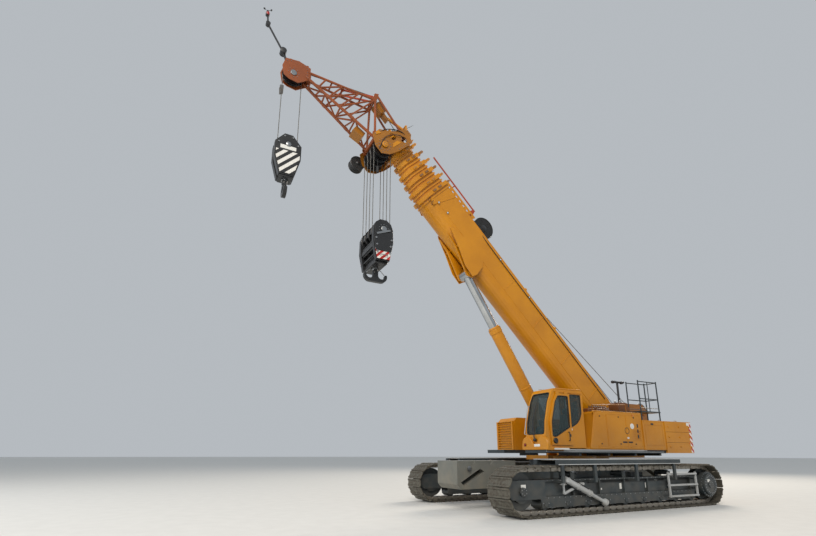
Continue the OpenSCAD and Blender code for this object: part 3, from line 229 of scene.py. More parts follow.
def prism(outline, start, along, x_dir, y_dir, bevel=0.0):
    """An outline of x and y carried from start by the vector along, its two rims drawn in by bevel."""
    outline = against_clock(outline)
    rim = bevel / np.linalg.norm(along)
    drawn = inset(outline, bevel) if bevel else outline
    stations = [(0.0, drawn), (rim, outline), (1 - rim, outline), (1.0, drawn)] if bevel else [
        (0.0, outline), (1.0, outline)]
    rows = [start + t * np.asarray(along) + o[:, :1] * x_dir + o[:, 1:] * y_dir for t, o in stations]
    return lidded(np.array(rows))


def rectangle(width, height, corner, steps=2):
    """A rectangle round the origin whose corners are arcs of so many points each, against the clock."""
    turn = np.linspace(0, np.pi / 2, steps)
    angle = (turn + np.arange(4)[:, None] * np.pi / 2).ravel()
    sign = np.repeat([[1, 1], [-1, 1], [-1, -1], [1, -1]], steps, axis=0)
    arcs = corner * np.stack([np.cos(angle), np.sin(angle)], -1)
    return sign * (np.array([width, height]) / 2 - corner) + arcs


def block(low, high, bevel=0.004):
    """A box between two corners with its edges cut: a rectangle with cut corners carried up in Z."""
    low, high = np.minimum(low, high).astype(float), np.maximum(low, high).astype(float)
    size, middle = high - low, (high + low) / 2
    cut = min(bevel, 0.45 * size.min())
    return prism(rectangle(size[0], size[1], cut), middle - size[2] / 2 * Z, size[2] * Z, X, Y, cut)


def bar(a, b, width, height, up=Z, bevel=0.003):
    """A straight bar from a to b with a rectangular section, its height along `up`."""
    a, b = np.asarray(a, float), np.asarray(b, float)
    side = unit(np.cross(up, b - a))
    return prism(rectangle(width, height, bevel), a, b - a, side, unit(np.cross(b - a, side)), bevel)


def plate_on(centre, normal, up_dir, width, height, thick=0.004, corner=0.012):
    """A thin plate with rounded corners that lies on a face: a blank sign, a pad or a cover."""
    normal = unit(normal)
    up_dir = unit(np.asarray(up_dir) - normal * np.dot(up_dir, normal))
    return prism(rectangle(width, height, corner, 5), np.asarray(centre, float), normal * thick,
                 np.cross(up_dir, normal), up_dir, min(0.0015, thick * 0.3))


# %% [markdown]
# Machines are full of small things that come in numbers. Each gets a small function: where it stands, which
# way it faces, how big it is. A row of bolts is then one call, and all bolts of a body become one mesh.

# %% Bolts, hoses, handles, lamps
def bolt_circle(centre, normal, radius, count, size=0.022, height=0.02):
    """Hexagon heads evenly on a circle: centre plus radius times (cosine, sine) in the flange's plane."""
    side, up = square_to(unit(normal))
    angle = even_turn(count)[:, None]
    places = np.asarray(centre) + radius * (np.cos(angle) * side + np.sin(angle) * up)
    return [disc(place, normal, size, height) for place in places]


def bolt_row(first, last, count, normal, size=0.018, height=0.014):
    """Hexagon heads evenly on the straight line from the first to the last."""
    return [disc(place, normal, size, height) for place in np.linspace(first, last, count)]


def smooth_path(points, steps=6):
    """A curve through the points: between each pair a cubic that keeps the direction of its neighbours."""
    p = np.asarray(points, float)
    p = np.vstack([2 * p[0] - p[1], p, 2 * p[-1] - p[-2]])
    a, b, c, d = p[:-3, None], p[1:-2, None], p[2:-1, None], p[3:, None]
    t = np.linspace(0, 1, steps, endpoint=False)[None, :, None]
    curve = b + 0.5 * t * ((c - a) + t * ((2 * a - 5 * b + 4 * c - d) + t * (3 * b - a - 3 * c + d)))
    return np.vstack([curve.reshape(-1, p.shape[1]), p[-2:-1]])


def hose(points, radius=0.016, sides=8, steps=6):
    """A hose or pipe of that radius on a smooth curve through the points."""
    return tube(smooth_path(points, steps), radius, sides)


HANDLE_R = 0.013


def grab_handle(a, b, normal, reach=0.06):
    """A round bar that stands off a face on two legs with rounded bends, from a to b."""
    a, b, out = np.asarray(a, float), np.asarray(b, float), unit(normal) * reach
    run = unit(b - a) * 0.03
    return tube([a, a + out * 0.6, a + out * 0.9 + run * 0.3, a + out + run, b + out - run,
                 b + out * 0.9 - run * 0.3, b + out * 0.6, b], HANDLE_R, 8)


def lifting_eye(foot, shoulder, flat, crown, radius):
    """A bent bar for a sling: up to its shoulders, then in to the flat, which lies at the crown's height."""
    rise = [(-0.09, 0, 0), (-0.085, 0, shoulder), (-flat, 0, crown)]
    return tube(np.asarray(foot) + (rise + [(-x, y, z) for x, y, z in rise[::-1]]), radius, 8)


def work_lamp(centre, facing, size):
    """A round work lamp: a domed housing that faces a direction, and the shallow dome of its lens."""
    back = [(-0.9, 0.35), (-0.8, 0.6), (-0.3, 0.95), (0.25, 1.0), (0.3, 0.92), (0.2, 0.86)]
    front = [(0.16, 0.84), (0.24, 0.7), (0.28, 0.3)]
    return [spin(centre, facing, np.array(profile) * size, 24) for profile in (back, front)]


# %% [markdown]
# ## From arrays to Blender
# `piece` turns a shape into an object, gives it a material and says which body it rides on. Every closed
# shell gets its normals turned outwards there, once and for all, and edges sharper than 35 degrees stay
# crisp, so that round tubes look round and plates keep their corners.

# %% Making a piece
SHARP = math.radians(35)
PIECES = {}


def new_mesh(name, shape):
    """A mesh from an array of points and a list of faces, with the faces of every closed shell outwards."""
    mesh = bpy.data.meshes.new(name)
    mesh.from_pydata(shape[0].tolist(), [], shape[1])
    edit = bmesh.new()
    edit.from_mesh(mesh)
    bmesh.ops.recalc_face_normals(edit, faces=edit.faces)
    edit.to_mesh(mesh)
    edit.free()
    mesh.polygons.foreach_set("use_smooth", np.ones(len(mesh.polygons), bool))
    mesh.set_sharp_from_angle(angle=SHARP)
    return mesh


def piece(name, shapes, material, body, replaces=()):
    """An object made of shapes, with one material, that rides on a body; when it is given two bodies instead, it
    stays fixed where it is made.
    """
    shape = join(shapes)
    made = bpy.data.objects.new(name, new_mesh(name, shape))
    bpy.context.scene.collection.objects.link(made)
    made.data.materials.append(material)
    if isinstance(body, str):
        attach(made, body)
    else:
        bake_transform(made)
    if replaces:
        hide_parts(*replaces)
    PIECES[name] = len(shape[1])
    return made


# %% [markdown]
# ## Materials
# Colours are written as they look on a screen, as hex values, and one function turns them into the linear
# light that the renderer wants. `add` places one shader node with its settings, its values and its links.
# Every pattern has a size in millimetres: `per_metre` makes of it the scale of a texture on Object
# coordinates, which stay with a piece wherever it is seen from.

# %% Colour and node helpers
def linear(hex_colour):
    """Linear RGBA of an sRGB hex colour: a straight part near black, and a power of 2.4 above it."""
    channels = [int(hex_colour[k:k + 2], 16) / 255 for k in (1, 3, 5)]
    return tuple(c / 12.92 if c <= 0.04045 else ((c + 0.055) / 1.055) ** 2.4 for c in channels) + (1.0,)


def per_metre(millimetres):
    """Texture scale at which one feature is about that many millimetres long."""
    return 1000.0 / millimetres


def add(tree, kind, inputs, output=0, **settings):
    """One shader node: settings by name, then inputs by socket, each a value or a socket linked to it."""
    node = tree.nodes.new("ShaderNode" + kind)
    for key, value in settings.items():
        setattr(node, key, value)
    for key, value in inputs.items():
        if isinstance(value, bpy.types.NodeSocket):
            tree.links.new(value, node.inputs[key])
        else:
            node.inputs[key].default_value = value
    return node.outputs[output]


def start(name):
    """An empty material, its node tree and the socket of its Object coordinates."""
    material = bpy.data.materials.new(name)
    material.use_nodes = True
    tree = material.node_tree
    tree.nodes.clear()
    return material, tree, add(tree, "TexCoord", {}, "Object")


def finish(material, tree, shader_inputs):
    """Ends a material: one Principled shader with these inputs, wired to the output."""
    shader = add(tree, "BsdfPrincipled", shader_inputs)
    output = tree.nodes.new("ShaderNodeOutputMaterial")
    tree.links.new(shader, output.inputs["Surface"])
    return material


# %% [markdown]
# Machine enamel is sprayed two-pack paint: an even colour with a faint orange-peel skin and a clear gloss
# on top. Outdoors it gathers pale dust low down and dull patches where rain dries. The patches are a few
# hand widths across. Orange peel is a millimetre or two in reality and is drawn at 9 mm so that it shows.

# %% Sprayed enamel
DUST = linear("#A3937A")


def enamel(name, colour, shade, roughness=0.34, coat=0.25, dust=(0.0, 2.6, 0.35)):
    """Sprayed enamel: two close tones in patches, dust that fades with height, and an orange-peel skin."""
    material, tree, place = start(name)
    wide = add(tree, "TexNoise", {"Vector": place, "Scale": per_metre(900), "Detail": 5.0})
    patches = add(tree, "MapRange", {"Value": wide, 1: 0.35, 2: 0.68})
    tone = add(tree, "Mix", {0: patches, 6: linear(colour), 7: linear(shade)}, 2, data_type="RGBA")
    low, high, most = dust
    height = add(tree, "SeparateXYZ", {"Vector": place}, "Z")
    fall = add(tree, "MapRange", {"Value": height, 1: low, 2: high, 3: most, 4: 0.0})
    spots = add(tree, "TexNoise", {"Vector": place, "Scale": per_metre(260), "Detail": 6.0})
    broken = add(tree, "MapRange", {"Value": spots, 1: 0.35, 2: 0.7, 3: 0.2, 4: 1.0})
    dusty = add(tree, "Math", {0: fall, 1: broken}, operation="MULTIPLY")
    tone = add(tree, "Mix", {0: dusty, 6: tone, 7: DUST}, 2, data_type="RGBA")
    hands = add(tree, "TexNoise", {"Vector": place, "Scale": per_metre(140), "Detail": 6.0,
                                   "Roughness": 0.65})
    dull = add(tree, "MapRange", {"Value": hands, 1: 0.3, 2: 0.75, 3: roughness - 0.07, 4: roughness + 0.14})
    peel = add(tree, "TexNoise", {"Vector": place, "Scale": per_metre(9), "Detail": 2.0})
    skin = add(tree, "Bump", {"Height": peel, "Strength": 0.05, "Distance": 0.002})
    return finish(material, tree, {"Base Color": tone, "Roughness": dull, "Normal": skin,
                                   "Coat Weight": coat, "Coat Roughness": 0.12})


golden_enamel = enamel("golden_yellow_enamel", "#CC8703", "#BE7B02", 0.4, 0.12)
ochre_enamel = enamel("ochre_enamel", "#A0660C", "#8F5A0A", 0.4)
chassis_enamel = enamel("blue_grey_chassis_enamel", "#2E3A40", "#263036", 0.42, 0.1, (0.0, 1.9, 0.2))
ballast_enamel = enamel("grey_ballast_enamel", "#6B6D68", "#5F625D", 0.55, 0.0, (0.3, 1.7, 0.4))
black_enamel = enamel("black_enamel", "#1B1C1E", "#242527", 0.38, 0.15)
silver_enamel = enamel("silver_enamel", "#B6BABC", "#A5A9AB", 0.36, 0.1, (0.0, 1.6, 0.4))
jib_enamel = enamel("burnt_orange_enamel", "#93491A", "#7C3E16", 0.45, 0.05)
tie_enamel = enamel("orange_red_enamel", "#B4441C", "#9E3A18", 0.4, 0.1)
unit_enamel = enamel("umber_enamel", "#7A4A1E", "#643A16", 0.5, 0.0)
print("enamels made:", sum("enamel" in m.name for m in bpy.data.materials))

# %% [markdown]
# Track shoes are cast steel that grinds over stones. Their faces are rubbed bright, the rest is brown with
# dry earth. The blend of the two follows noise at a few centimetres, and the earth is rougher and a little
# raised, which the bump shows.

# %% Cast steel with earth on it
def worn_steel(name, bright, earth, share=0.5, metal=0.85):
    """Bare steel with dry earth on it: noise chooses between bright, smooth metal and rough brown soil."""
    material, tree, place = start(name)
    clods = add(tree, "TexNoise", {"Vector": place, "Scale": per_metre(110), "Detail": 8.0,
                                   "Roughness": 0.62})
    soil = add(tree, "MapRange", {"Value": clods, 1: share - 0.12, 2: share + 0.1})
    grit = add(tree, "TexNoise", {"Vector": place, "Scale": per_metre(14), "Detail": 4.0})
    tone = add(tree, "Mix", {0: soil, 6: linear(bright), 7: linear(earth)}, 2, data_type="RGBA")
    pale = add(tree, "MapRange", {"Value": grit, 1: 0.45, 2: 0.7, 3: 0.0, 4: 0.22})
    tone = add(tree, "Mix", {0: pale, 6: tone, 7: DUST}, 2, data_type="RGBA")
    rough = add(tree, "MapRange", {"Value": soil, 3: 0.38, 4: 0.88})
    metallic = add(tree, "MapRange", {"Value": soil, 3: metal, 4: 0.05})
    raised = add(tree, "Math", {0: soil, 1: grit}, operation="MULTIPLY")
    relief = add(tree, "Bump", {"Height": raised, "Strength": 0.5, "Distance": 0.006})
    return finish(material, tree, {"Base Color": tone, "Roughness": rough, "Metallic": metallic,
                                   "Normal": relief})


shoe_steel = worn_steel("cast_steel_with_dry_earth", "#6C6A61", "#45413A")
bright_steel = worn_steel("rubbed_steel", "#A39E95", "#6A6155", 0.62)
cast_iron = worn_steel("cast_iron", "#5E6062", "#4C4A47", 0.55, 0.5)

# %% [markdown]
# The cylinder's rod is hard chrome, ground after plating, and pins and bolts are turned from plain steel.
# Both are metal through and through. Their roughness has streaks, as the grinding wheel or the lathe leaves
# them, drawn by stretching a noise, and their colour drifts a little from place to place.

# %% Chrome and machined steel
def turned_metal(name, colour, low, high):
    """Metal that was turned or ground: streaks in its roughness, drawn out along one direction."""
    material, tree, place = start(name)
    stretched = add(tree, "Mapping", {"Vector": place, "Scale": (0.02, 1.0, 1.0)})
    lines = add(tree, "TexNoise", {"Vector": stretched, "Scale": per_metre(30), "Detail": 3.0})
    rough = add(tree, "MapRange", {"Value": lines, 1: 0.3, 2: 0.7, 3: low, 4: high})
    cloud = add(tree, "TexNoise", {"Vector": place, "Scale": per_metre(400), "Detail": 4.0})
    tone = add(tree, "Mix", {0: cloud, 6: linear(colour), 7: linear("#8F9294")}, 2, data_type="RGBA")
    return finish(material, tree, {"Base Color": tone, "Roughness": rough, "Metallic": 1.0})


hard_chrome = turned_metal("hard_chrome", "#D4D7D9", 0.06, 0.16)
machined_steel = turned_metal("machined_steel", "#A9ABAC", 0.22, 0.4)

# %% [markdown]
# A hoist rope is wire rope: strands of drawn steel wire laid in a helix, dark with grease in the valleys.
# The strands of a 24 mm rope repeat every 27 mm along it. A wave across Object coordinates draws them,
# because all the ropes run either upwards or along the boom, and its slant across the rope gives the lay.

# %% Wire rope
def wire_rope(name, direction):
    """Twisted strands: a wave at a slant to the rope's direction darkens and sinks the valleys."""
    material, tree, place = start(name)
    aslant = np.asarray(direction) + 1.2 * Y
    phase = add(tree, "VectorMath", {0: place, 1: tuple(2 * math.pi * per_metre(27) * aslant)}, "Value",
                operation="DOT_PRODUCT")
    wave = add(tree, "Math", {0: phase}, operation="SINE")
    ridge = add(tree, "MapRange", {"Value": wave, 1: -1.0, 2: 0.4})
    tone = add(tree, "Mix", {0: ridge, 6: linear("#2A2A29"), 7: linear("#8C8B86")}, 2, data_type="RGBA")
    relief = add(tree, "Bump", {"Height": wave, "Strength": 0.7, "Distance": 0.003})
    return finish(material, tree, {"Base Color": tone, "Normal": relief, "Metallic": 0.75, "Roughness": 0.42})


steel_rope_up = wire_rope("galvanised_wire_rope", (0, 0, 1))
steel_rope_boom = wire_rope("greased_wire_rope", BOOM_DIR)

# %% [markdown]
# The soft and moulded stuffs differ in grain more than in colour. Rubber of hoses and seals is matt and a
# little mottled, ABS of covers has a fine pebbled mould grain, seat cloth is a weave with threads of 4 mm,
# and lacquered plates and lamp lenses are smooth. One recipe makes them all from two tones and a relief.

# %% Rubber, plastic, cloth, plates, lenses
def moulded(name, colour, shade, millimetres, roughness, relief_mm=0.4, coat=0.0):
    """Two tones and a fine relief that follow one grain of that many millimetres."""
    material, tree, place = start(name)
    grain = add(tree, "TexNoise", {"Vector": place, "Scale": per_metre(millimetres), "Detail": 5.0})
    even = add(tree, "MapRange", {"Value": grain, 1: 0.3, 2: 0.7})
    tone = add(tree, "Mix", {0: even, 6: linear(colour), 7: linear(shade)}, 2, data_type="RGBA")
    relief = add(tree, "Bump", {"Height": grain, "Strength": 0.35, "Distance": relief_mm / 1000})
    return finish(material, tree, {"Base Color": tone, "Normal": relief, "Roughness": roughness,
                                   "Coat Weight": coat})


black_rubber = moulded("black_rubber", "#191A1B", "#232425", 12, 0.62)
dark_abs = moulded("moulded_dark_abs", "#232527", "#2C2E30", 3, 0.5)
seat_cloth = moulded("woven_seat_cloth", "#26282B", "#1B1D1F", 4, 0.9, 1.0)
white_plate = moulded("white_lacquered_plate", "#E8E8E4", "#DCDCD6", 60, 0.4)
lamp_lens = moulded("clear_lamp_lens", "#DDE3E6", "#C9D0D4", 8, 0.12, 0.6, 0.5)
amber_lens = moulded("amber_lens", "#E07A12", "#C9660C", 8, 0.2, 0.6, 0.5)
red_lens = moulded("red_lens", "#A3150F", "#8C100C", 8, 0.22, 0.6, 0.5)

# %% [markdown]
# Cab windows are tempered safety glass with a grey tint, 6 mm thick. A real pane both mirrors the sky and
# lets the dark cab show. A dark base colour with part of its alpha taken away does both without the noise
# of refraction, and a film of dust dulls its gloss in patches.

# %% Tinted glass
def tinted_glass(name, colour):
    """Safety glass: a dark tint that shows the cab inside, with a film of dust that dulls it."""
    material, tree, place = start(name)
    cloud = add(tree, "TexNoise", {"Vector": place, "Scale": per_metre(220), "Detail": 6.0})
    film = add(tree, "MapRange", {"Value": cloud, 1: 0.4, 2: 0.8, 3: 0.02, 4: 0.16})
    return finish(material, tree, {"Roughness": film, "Base Color": linear(colour), "IOR": 1.5,
                                   "Alpha": 0.5, "Coat Weight": 0.3})


cab_glass = tinted_glass("tinted_safety_glass", "#2C3F40")

# %% [markdown]
# Warning stripes are part of the paint: slanting bands in two colours. The sine of a slanted distance tells
# the bands apart, and the edge between two bands is kept a few millimetres soft, as masked paint is. Chips
# show the grey primer below.

# %% Striped paint
def striped(name, first, second, slant, band_mm):
    """Two-colour stripes: the sine of a slanted distance, sharpened to a band with a soft edge."""
    material, tree, place = start(name)
    turns = tuple(math.pi * per_metre(band_mm) * unit(slant))
    phase = add(tree, "VectorMath", {0: place, 1: turns}, "Value", operation="DOT_PRODUCT")
    wave = add(tree, "Math", {0: phase}, operation="SINE")
    band = add(tree, "MapRange", {"Value": wave, 1: -0.05, 2: 0.05})
    tone = add(tree, "Mix", {0: band, 6: linear(first), 7: linear(second)}, 2, data_type="RGBA")
    chips = add(tree, "TexNoise", {"Vector": place, "Scale": per_metre(90), "Detail": 8.0, "Roughness": 0.65})
    worn = add(tree, "MapRange", {"Value": chips, 1: 0.6, 2: 0.72, 3: 0.0, 4: 0.5})
    tone = add(tree, "Mix", {0: worn, 6: tone, 7: linear("#4C4A46")}, 2, data_type="RGBA")
    rough = add(tree, "MapRange", {"Value": chips, 1: 0.3, 2: 0.7, 3: 0.3, 4: 0.5})
    return finish(material, tree, {"Base Color": tone, "Roughness": rough, "Coat Weight": 0.1})


rear_stripes = striped("red_white_paint_on_counterweight", "#E9E6DF", "#B3201A", (0, 1, 1), 80)
side_stripes = striped("red_white_paint_on_its_side", "#E9E6DF", "#B3201A", (1, 0, -1), 80)
block_stripes = striped("red_white_paint_on_block", "#E4E2DC", "#B3201A", (1, 0, 1), 75)
hook_stripes = striped("white_black_paint_on_block", "#E4E2DC", "#1D1E20", (1, 0, 1), 95)

# %% [markdown]
# Every solid of the crane names a slot in its record, such as `yellow_paint`. One table pairs those slots
# with the finishes made above, and a loop puts them on. Nothing is left in a flat colour. Read the other way
# round, the table gives the slot of each finish. Finishes that no solid has are added to it.

# %% Finishes on the crane's solids
FINISHES = {
    "yellow_paint": golden_enamel, "dark_yellow_paint": ochre_enamel, "chassis_grey_paint": chassis_enamel,
    "track_steel": shoe_steel, "silver_paint": silver_enamel, "black_paint": black_enamel,
    "rod_chrome": hard_chrome, "ballast_grey_paint": ballast_enamel, "jib_orange_paint": jib_enamel,
    "tie_red_paint": tie_enamel, "window_glass": cab_glass, "seat_cloth": seat_cloth,
    "dark_plastic": dark_abs, "rope_steel": steel_rope_up, "unit_red_paint": unit_enamel,
    "engine_iron": cast_iron, "cable_black": black_rubber}
SLOTS = {material.name: slot for slot, material in FINISHES.items()}
for material in (machined_steel, white_plate, lamp_lens, rear_stripes, side_stripes, block_stripes,
                 hook_stripes):
    SLOTS[material.name] = "silver_paint"
for material, slot in ((red_lens, "unit_red_paint"), (amber_lens, "tie_red_paint"),
                       (steel_rope_boom, "rope_steel"), (bright_steel, "chassis_grey_paint")):
    SLOTS[material.name] = slot
for part in frame["record"]["subparts"]:
    solid = frame["nodes"][part["node"]]
    solid.data.materials.clear()
    solid.data.materials.append(FINISHES[part["material_slot"]])
frame["nodes"]["boom_head"].data.materials[0] = ochre_enamel
print("solids finished:", len(frame["nodes"]))

# %% [markdown]
# ## Camera
# The photograph was taken with a wide lens from low down, ahead of the crane and to its left, with the
# picture's frame lifted so that the boom fits in. A lens shift does the same here: the camera looks a
# little upwards and the frame is raised by an eleventh of its width.

# %% The camera
CAMERA_FROM_AXIS = (12.125, 12.122, 1.572)
YAW, PITCH, ROLL = (math.radians(a) for a in (243.31, 14.015, 0.096))
PICTURE_W = 816
SENSOR_MM = 36.0
LENS_PX = 452.27
AXIS_BELOW_MIDDLE_PX = 73.7


def placed(thing, columns):
    """The object's place in the world from four columns: its X, Y and Z directions and its origin."""
    thing.matrix_world = mathutils.Matrix([[*row] for row in np.array(columns).T] + [[0, 0, 0, 1]])
    bpy.context.scene.collection.objects.link(thing)


camera_data = bpy.data.cameras.new("camera")
camera_data.sensor_width = SENSOR_MM
camera_data.lens = LENS_PX / PICTURE_W * SENSOR_MM
camera_data.shift_y = AXIS_BELOW_MIDDLE_PX / PICTURE_W
camera_data.clip_end = 2000.0
camera = bpy.data.objects.new("camera", camera_data)
forward = np.array([math.cos(YAW) * math.cos(PITCH), math.sin(YAW) * math.cos(PITCH), math.sin(PITCH)])
level = unit(np.cross(forward, Z))
right = level * math.cos(ROLL) + np.cross(level, forward) * math.sin(ROLL)
placed(camera, [right, np.cross(right, forward), -forward, from_axis(*CAMERA_FROM_AXIS)])
bpy.context.scene.camera = camera

# %% [markdown]
# ## Floor and light
# A plain pale floor and a pale world stand in for the building site. The three lamps are large and soft: a
# strong one high up at the front left, a weaker one behind and a faint one ahead. Paint shows its gloss in
# them, and the lattice keeps its depth.

# %% Floor, world and lamps
FLOOR_REACH = 300.0
floor_shape = (FLOOR_REACH * np.array([[-1, -1, 0], [1, -1, 0], [1, 1, 0], [-1, 1, 0]]), [[0, 1, 2, 3]])
floor = bpy.data.objects.new("floor", new_mesh("floor", floor_shape))
bpy.context.scene.collection.objects.link(floor)
floor.data.materials.append(moulded("pale_studio_floor", "#D9D9D6", "#D4D4D1", 400, 0.8, 0.2))

world = bpy.data.worlds.new("studio")
bpy.context.scene.world = world
world.use_nodes = True
world.node_tree.nodes.clear()
sky = add(world.node_tree, "Background", {"Color": linear("#DCE2E8"), "Strength": 0.65})
world_out = world.node_tree.nodes.new("ShaderNodeOutputWorld")
world.node_tree.links.new(sky, world_out.inputs["Surface"])


def area_lamp(name, place, target, size, power, colour="#FFFFFF"):
    """A square lamp of that size and power at a place, facing a target."""
    data = bpy.data.lights.new(name, "AREA")
    data.size = size
    data.energy = power
    data.color = linear(colour)[:3]
    away = unit(np.asarray(place) - np.asarray(target))
    side, top = square_to(away)
    placed(bpy.data.objects.new(name, data), [side, top, away, np.asarray(place, float)])


centre = np.array([0.0, 0.0, 5.0])
area_lamp("key", (22, 26, 26), centre, 16, 9000, "#FFF6EA")
area_lamp("rim", (-24, -14, 22), centre, 14, 6000, "#FFF1DE")
area_lamp("front", (30, -4, 12), centre, 14, 2500)
bpy.context.scene.view_settings.view_transform = "Standard"

# %% [markdown]
# ## Track shoes
# A crawler crane's track is a ring of cast shoes on a chain. Each shoe is a thick plate with a rib along
# both long edges and cut corners, and every shoe is the same, so one shoe is shaped once, as a profile
# carried across the track, and then set out round the loop. The loop's formula is two straight runs and
# two half circles, walked at an even pace.

# %% Walking round the loop
SHOES = 72
SHOE_GAP = 0.024
SHOE_DEPTH = 0.045
track_low, track_high = (np.array(corner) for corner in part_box("track_left"))
TRACK_Y = (track_low[1] + track_high[1]) / 2
SHOE_W = track_high[1] - track_low[1]
LOOP_R = (track_high[2] - track_low[2]) / 2 - SHOE_DEPTH
LOOP_RUN = (track_high[0] - track_low[0]) - 2 * (LOOP_R + SHOE_DEPTH)
TRACK_X, TRACK_Z = ((track_low + track_high) / 2)[[0, 2]]
LOOP_LENGTH = 2 * LOOP_RUN + 2 * math.pi * LOOP_R


def on_loop(s):
    """Points in X and Z at distances s round the loop: top run, front wheel, bottom run, rear wheel."""
    s = np.asarray(s) % LOOP_LENGTH
    arc, half = math.pi * LOOP_R, LOOP_RUN / 2
    front = math.pi / 2 - (s - LOOP_RUN) / LOOP_R
    rear = -math.pi / 2 - (s - 2 * LOOP_RUN - arc) / LOOP_R
    where = [s < LOOP_RUN, s < LOOP_RUN + arc, s < 2 * LOOP_RUN + arc]
    x = np.select(where, [s - half, half + LOOP_R * np.cos(front), half - (s - LOOP_RUN - arc)],
                  -half + LOOP_R * np.cos(rear))
    z = np.select(where, [LOOP_R + 0 * s, LOOP_R * np.sin(front), -LOOP_R + 0 * s], LOOP_R * np.sin(rear))
    return np.stack([TRACK_X + x, TRACK_Z + z], -1)


pitch = LOOP_LENGTH / SHOES
shoe_start = on_loop(np.arange(SHOES) * pitch + SHOE_GAP / 2)
shoe_stop = on_loop((np.arange(SHOES) + 1) * pitch - SHOE_GAP / 2)
ahead = unit(shoe_stop - shoe_start)
outward = np.stack([-ahead[:, 1], ahead[:, 0]], -1)


def set_out(shape, side):
    """Copies of a shape made in a shoe's axes (along, across, outwards), one for every shoe of that side."""
    middle = ((shoe_start + shoe_stop) / 2)[:, None]
    along, across, out = shape[0].T
    xz = middle + along[:, None] * ahead[:, None] + out[:, None] * outward[:, None]
    y = np.broadcast_to(side * TRACK_Y + across, xz.shape[:2])
    points = np.stack([xz[..., 0], y, xz[..., 1]], -1)
    return join([(copy, shape[1]) for copy in points])


# %% One shoe, one link, and all of them
def shoe_shape(length):
    """A profile with a rib at both ends carried across the track, drawn in at its last centimetres."""
    end, rib, plate, top = length / 2, 0.046, 0.024, SHOE_DEPTH
    profile = np.array([[-end, 0.004], [-end, top - 0.008], [-end + 0.008, top], [-end + rib, top],
                        [-end + rib + 0.014, plate], [end - rib - 0.014, plate], [end - rib, top],
                        [end - 0.008, top], [end, top - 0.008], [end, 0.004], [end - 0.01, -0.004],
                        [-end + 0.01, -0.004]])
    stations = [(-1.0, 0.72, 0.5), (-0.992, 0.78, 0.9), (-0.94, 1.0, 1.0), (0.94, 1.0, 1.0),
                (0.992, 0.78, 0.9), (1.0, 0.72, 0.5)]
    across, along, thick = np.array(stations).T[:, :, None]
    rows = np.stack([profile[:, 0] * along, 0 * profile[:, 0] + across * SHOE_W / 2, profile[:, 1] * thick],
                    -1)
    return lidded(rows)


def link_shape(length):
    """Four flat chain links in the shoe's axes, each a bar with round eyes at both ends and a raised back."""
    reach, r, drop = length / 2 + 0.012, 0.052, -0.062
    turn = np.linspace(math.pi / 2, 3 * math.pi / 2, 7)
    rear_eye = np.stack([-reach + r + r * np.cos(turn), drop + r * np.sin(turn)], -1)
    outline = np.vstack([rear_eye, -rear_eye + [0, 2 * drop], [[0.05, 0.0], [-0.05, 0.0]]])
    return join([prism(outline, y * Y, 0.036 * Y, X, Z, 0.004) for y in (-0.178, -0.11, 0.074, 0.142)])


one_shoe = shoe_shape(pitch - SHOE_GAP / 3)
one_bolt_set = join([disc((x, y, 0.024), Z, 0.017, 0.013) for x in (-0.055, 0.055)
                     for y in (-0.2, -0.07, 0.07, 0.2)])
for side, word in ((1, "left"), (-1, "right")):
    piece(f"shoes_{word}", [set_out(one_shoe, side), set_out(one_bolt_set, side)], shoe_steel,
          "undercarriage", replaces=[f"track_{word}"])
    piece(f"chain_{word}", [set_out(link_shape(pitch - SHOE_GAP), side)], bright_steel, "undercarriage")
print("shoe length, mm:", round((pitch - SHOE_GAP) * 1000), "shoes:", 2 * SHOES)

# %% [markdown]
# ## Side frames
# The side frames carry a round final drive at the rear, held by two rings of bolts, and nine bottom rollers
# whose axles end in caps on the outer face. Small blank plates, grease pipes and rows of bolts break up the
# long dark faces. All of it is placed from the track's own middle and from the face of the frame.

# %% Bolts, caps, plates and pipes on the side frames
FACE_Y = TRACK_Y + 0.225
ROLLER_SPAN = LOOP_RUN - 2 * (LOOP_R - 0.12) - 0.56
drive = np.array([TRACK_X - LOOP_RUN / 2, FACE_Y, TRACK_Z])
idler = np.array([TRACK_X + LOOP_RUN / 2, FACE_Y, TRACK_Z])
frame_bolts = bolt_circle(drive + 0.19 * Y, Y, 0.27, 20)
frame_bolts += bolt_circle(drive + 0.114 * Y, Y, 0.365, 24, 0.018)
frame_bolts += bolt_circle(drive + 0.21 * Y, Y, 0.085, 8, 0.014, 0.012)
frame_bolts += bolt_circle(idler + 0.06 * Y, Y, 0.08, 6, 0.016, 0.012)
for row_z in (0.47, 0.907):
    frame_bolts += bolt_row((TRACK_X - 3.0, FACE_Y, row_z), (TRACK_X + 3.0, FACE_Y, row_z), 31, Y, 0.016,
                            0.012)
axle_caps = []
for x in np.linspace(TRACK_X - ROLLER_SPAN / 2, TRACK_X + ROLLER_SPAN / 2, 9):
    axle_caps.append(spin((x, FACE_Y - 0.004, 0.295), Y, [(0, 0.062), (0.02, 0.06), (0.026, 0.045),
                                                          (0.02, 0.02)], 20))
    frame_bolts += bolt_row((x - 0.09, FACE_Y, 0.335), (x + 0.09, FACE_Y, 0.335), 2, Y, 0.018, 0.014)
SIGNS = [(3.98, 0.0, 0.76, 0.16, 0.12), (1.09, -0.07, 0.63, 0.08, 0.05), (0.27, -0.07, 0.687, 0.09, 0.16),
         (-0.88, -0.07, 0.684, 0.13, 0.15), (-1.33, -0.07, 0.83, 0.16, 0.06), (-3.6, 0.192, 0.76, 0.13, 0.09)]
signs = [plate_on(from_axis(x, FACE_Y + y, z), Y, Z, w, h) for x, y, z, w, h in SIGNS]
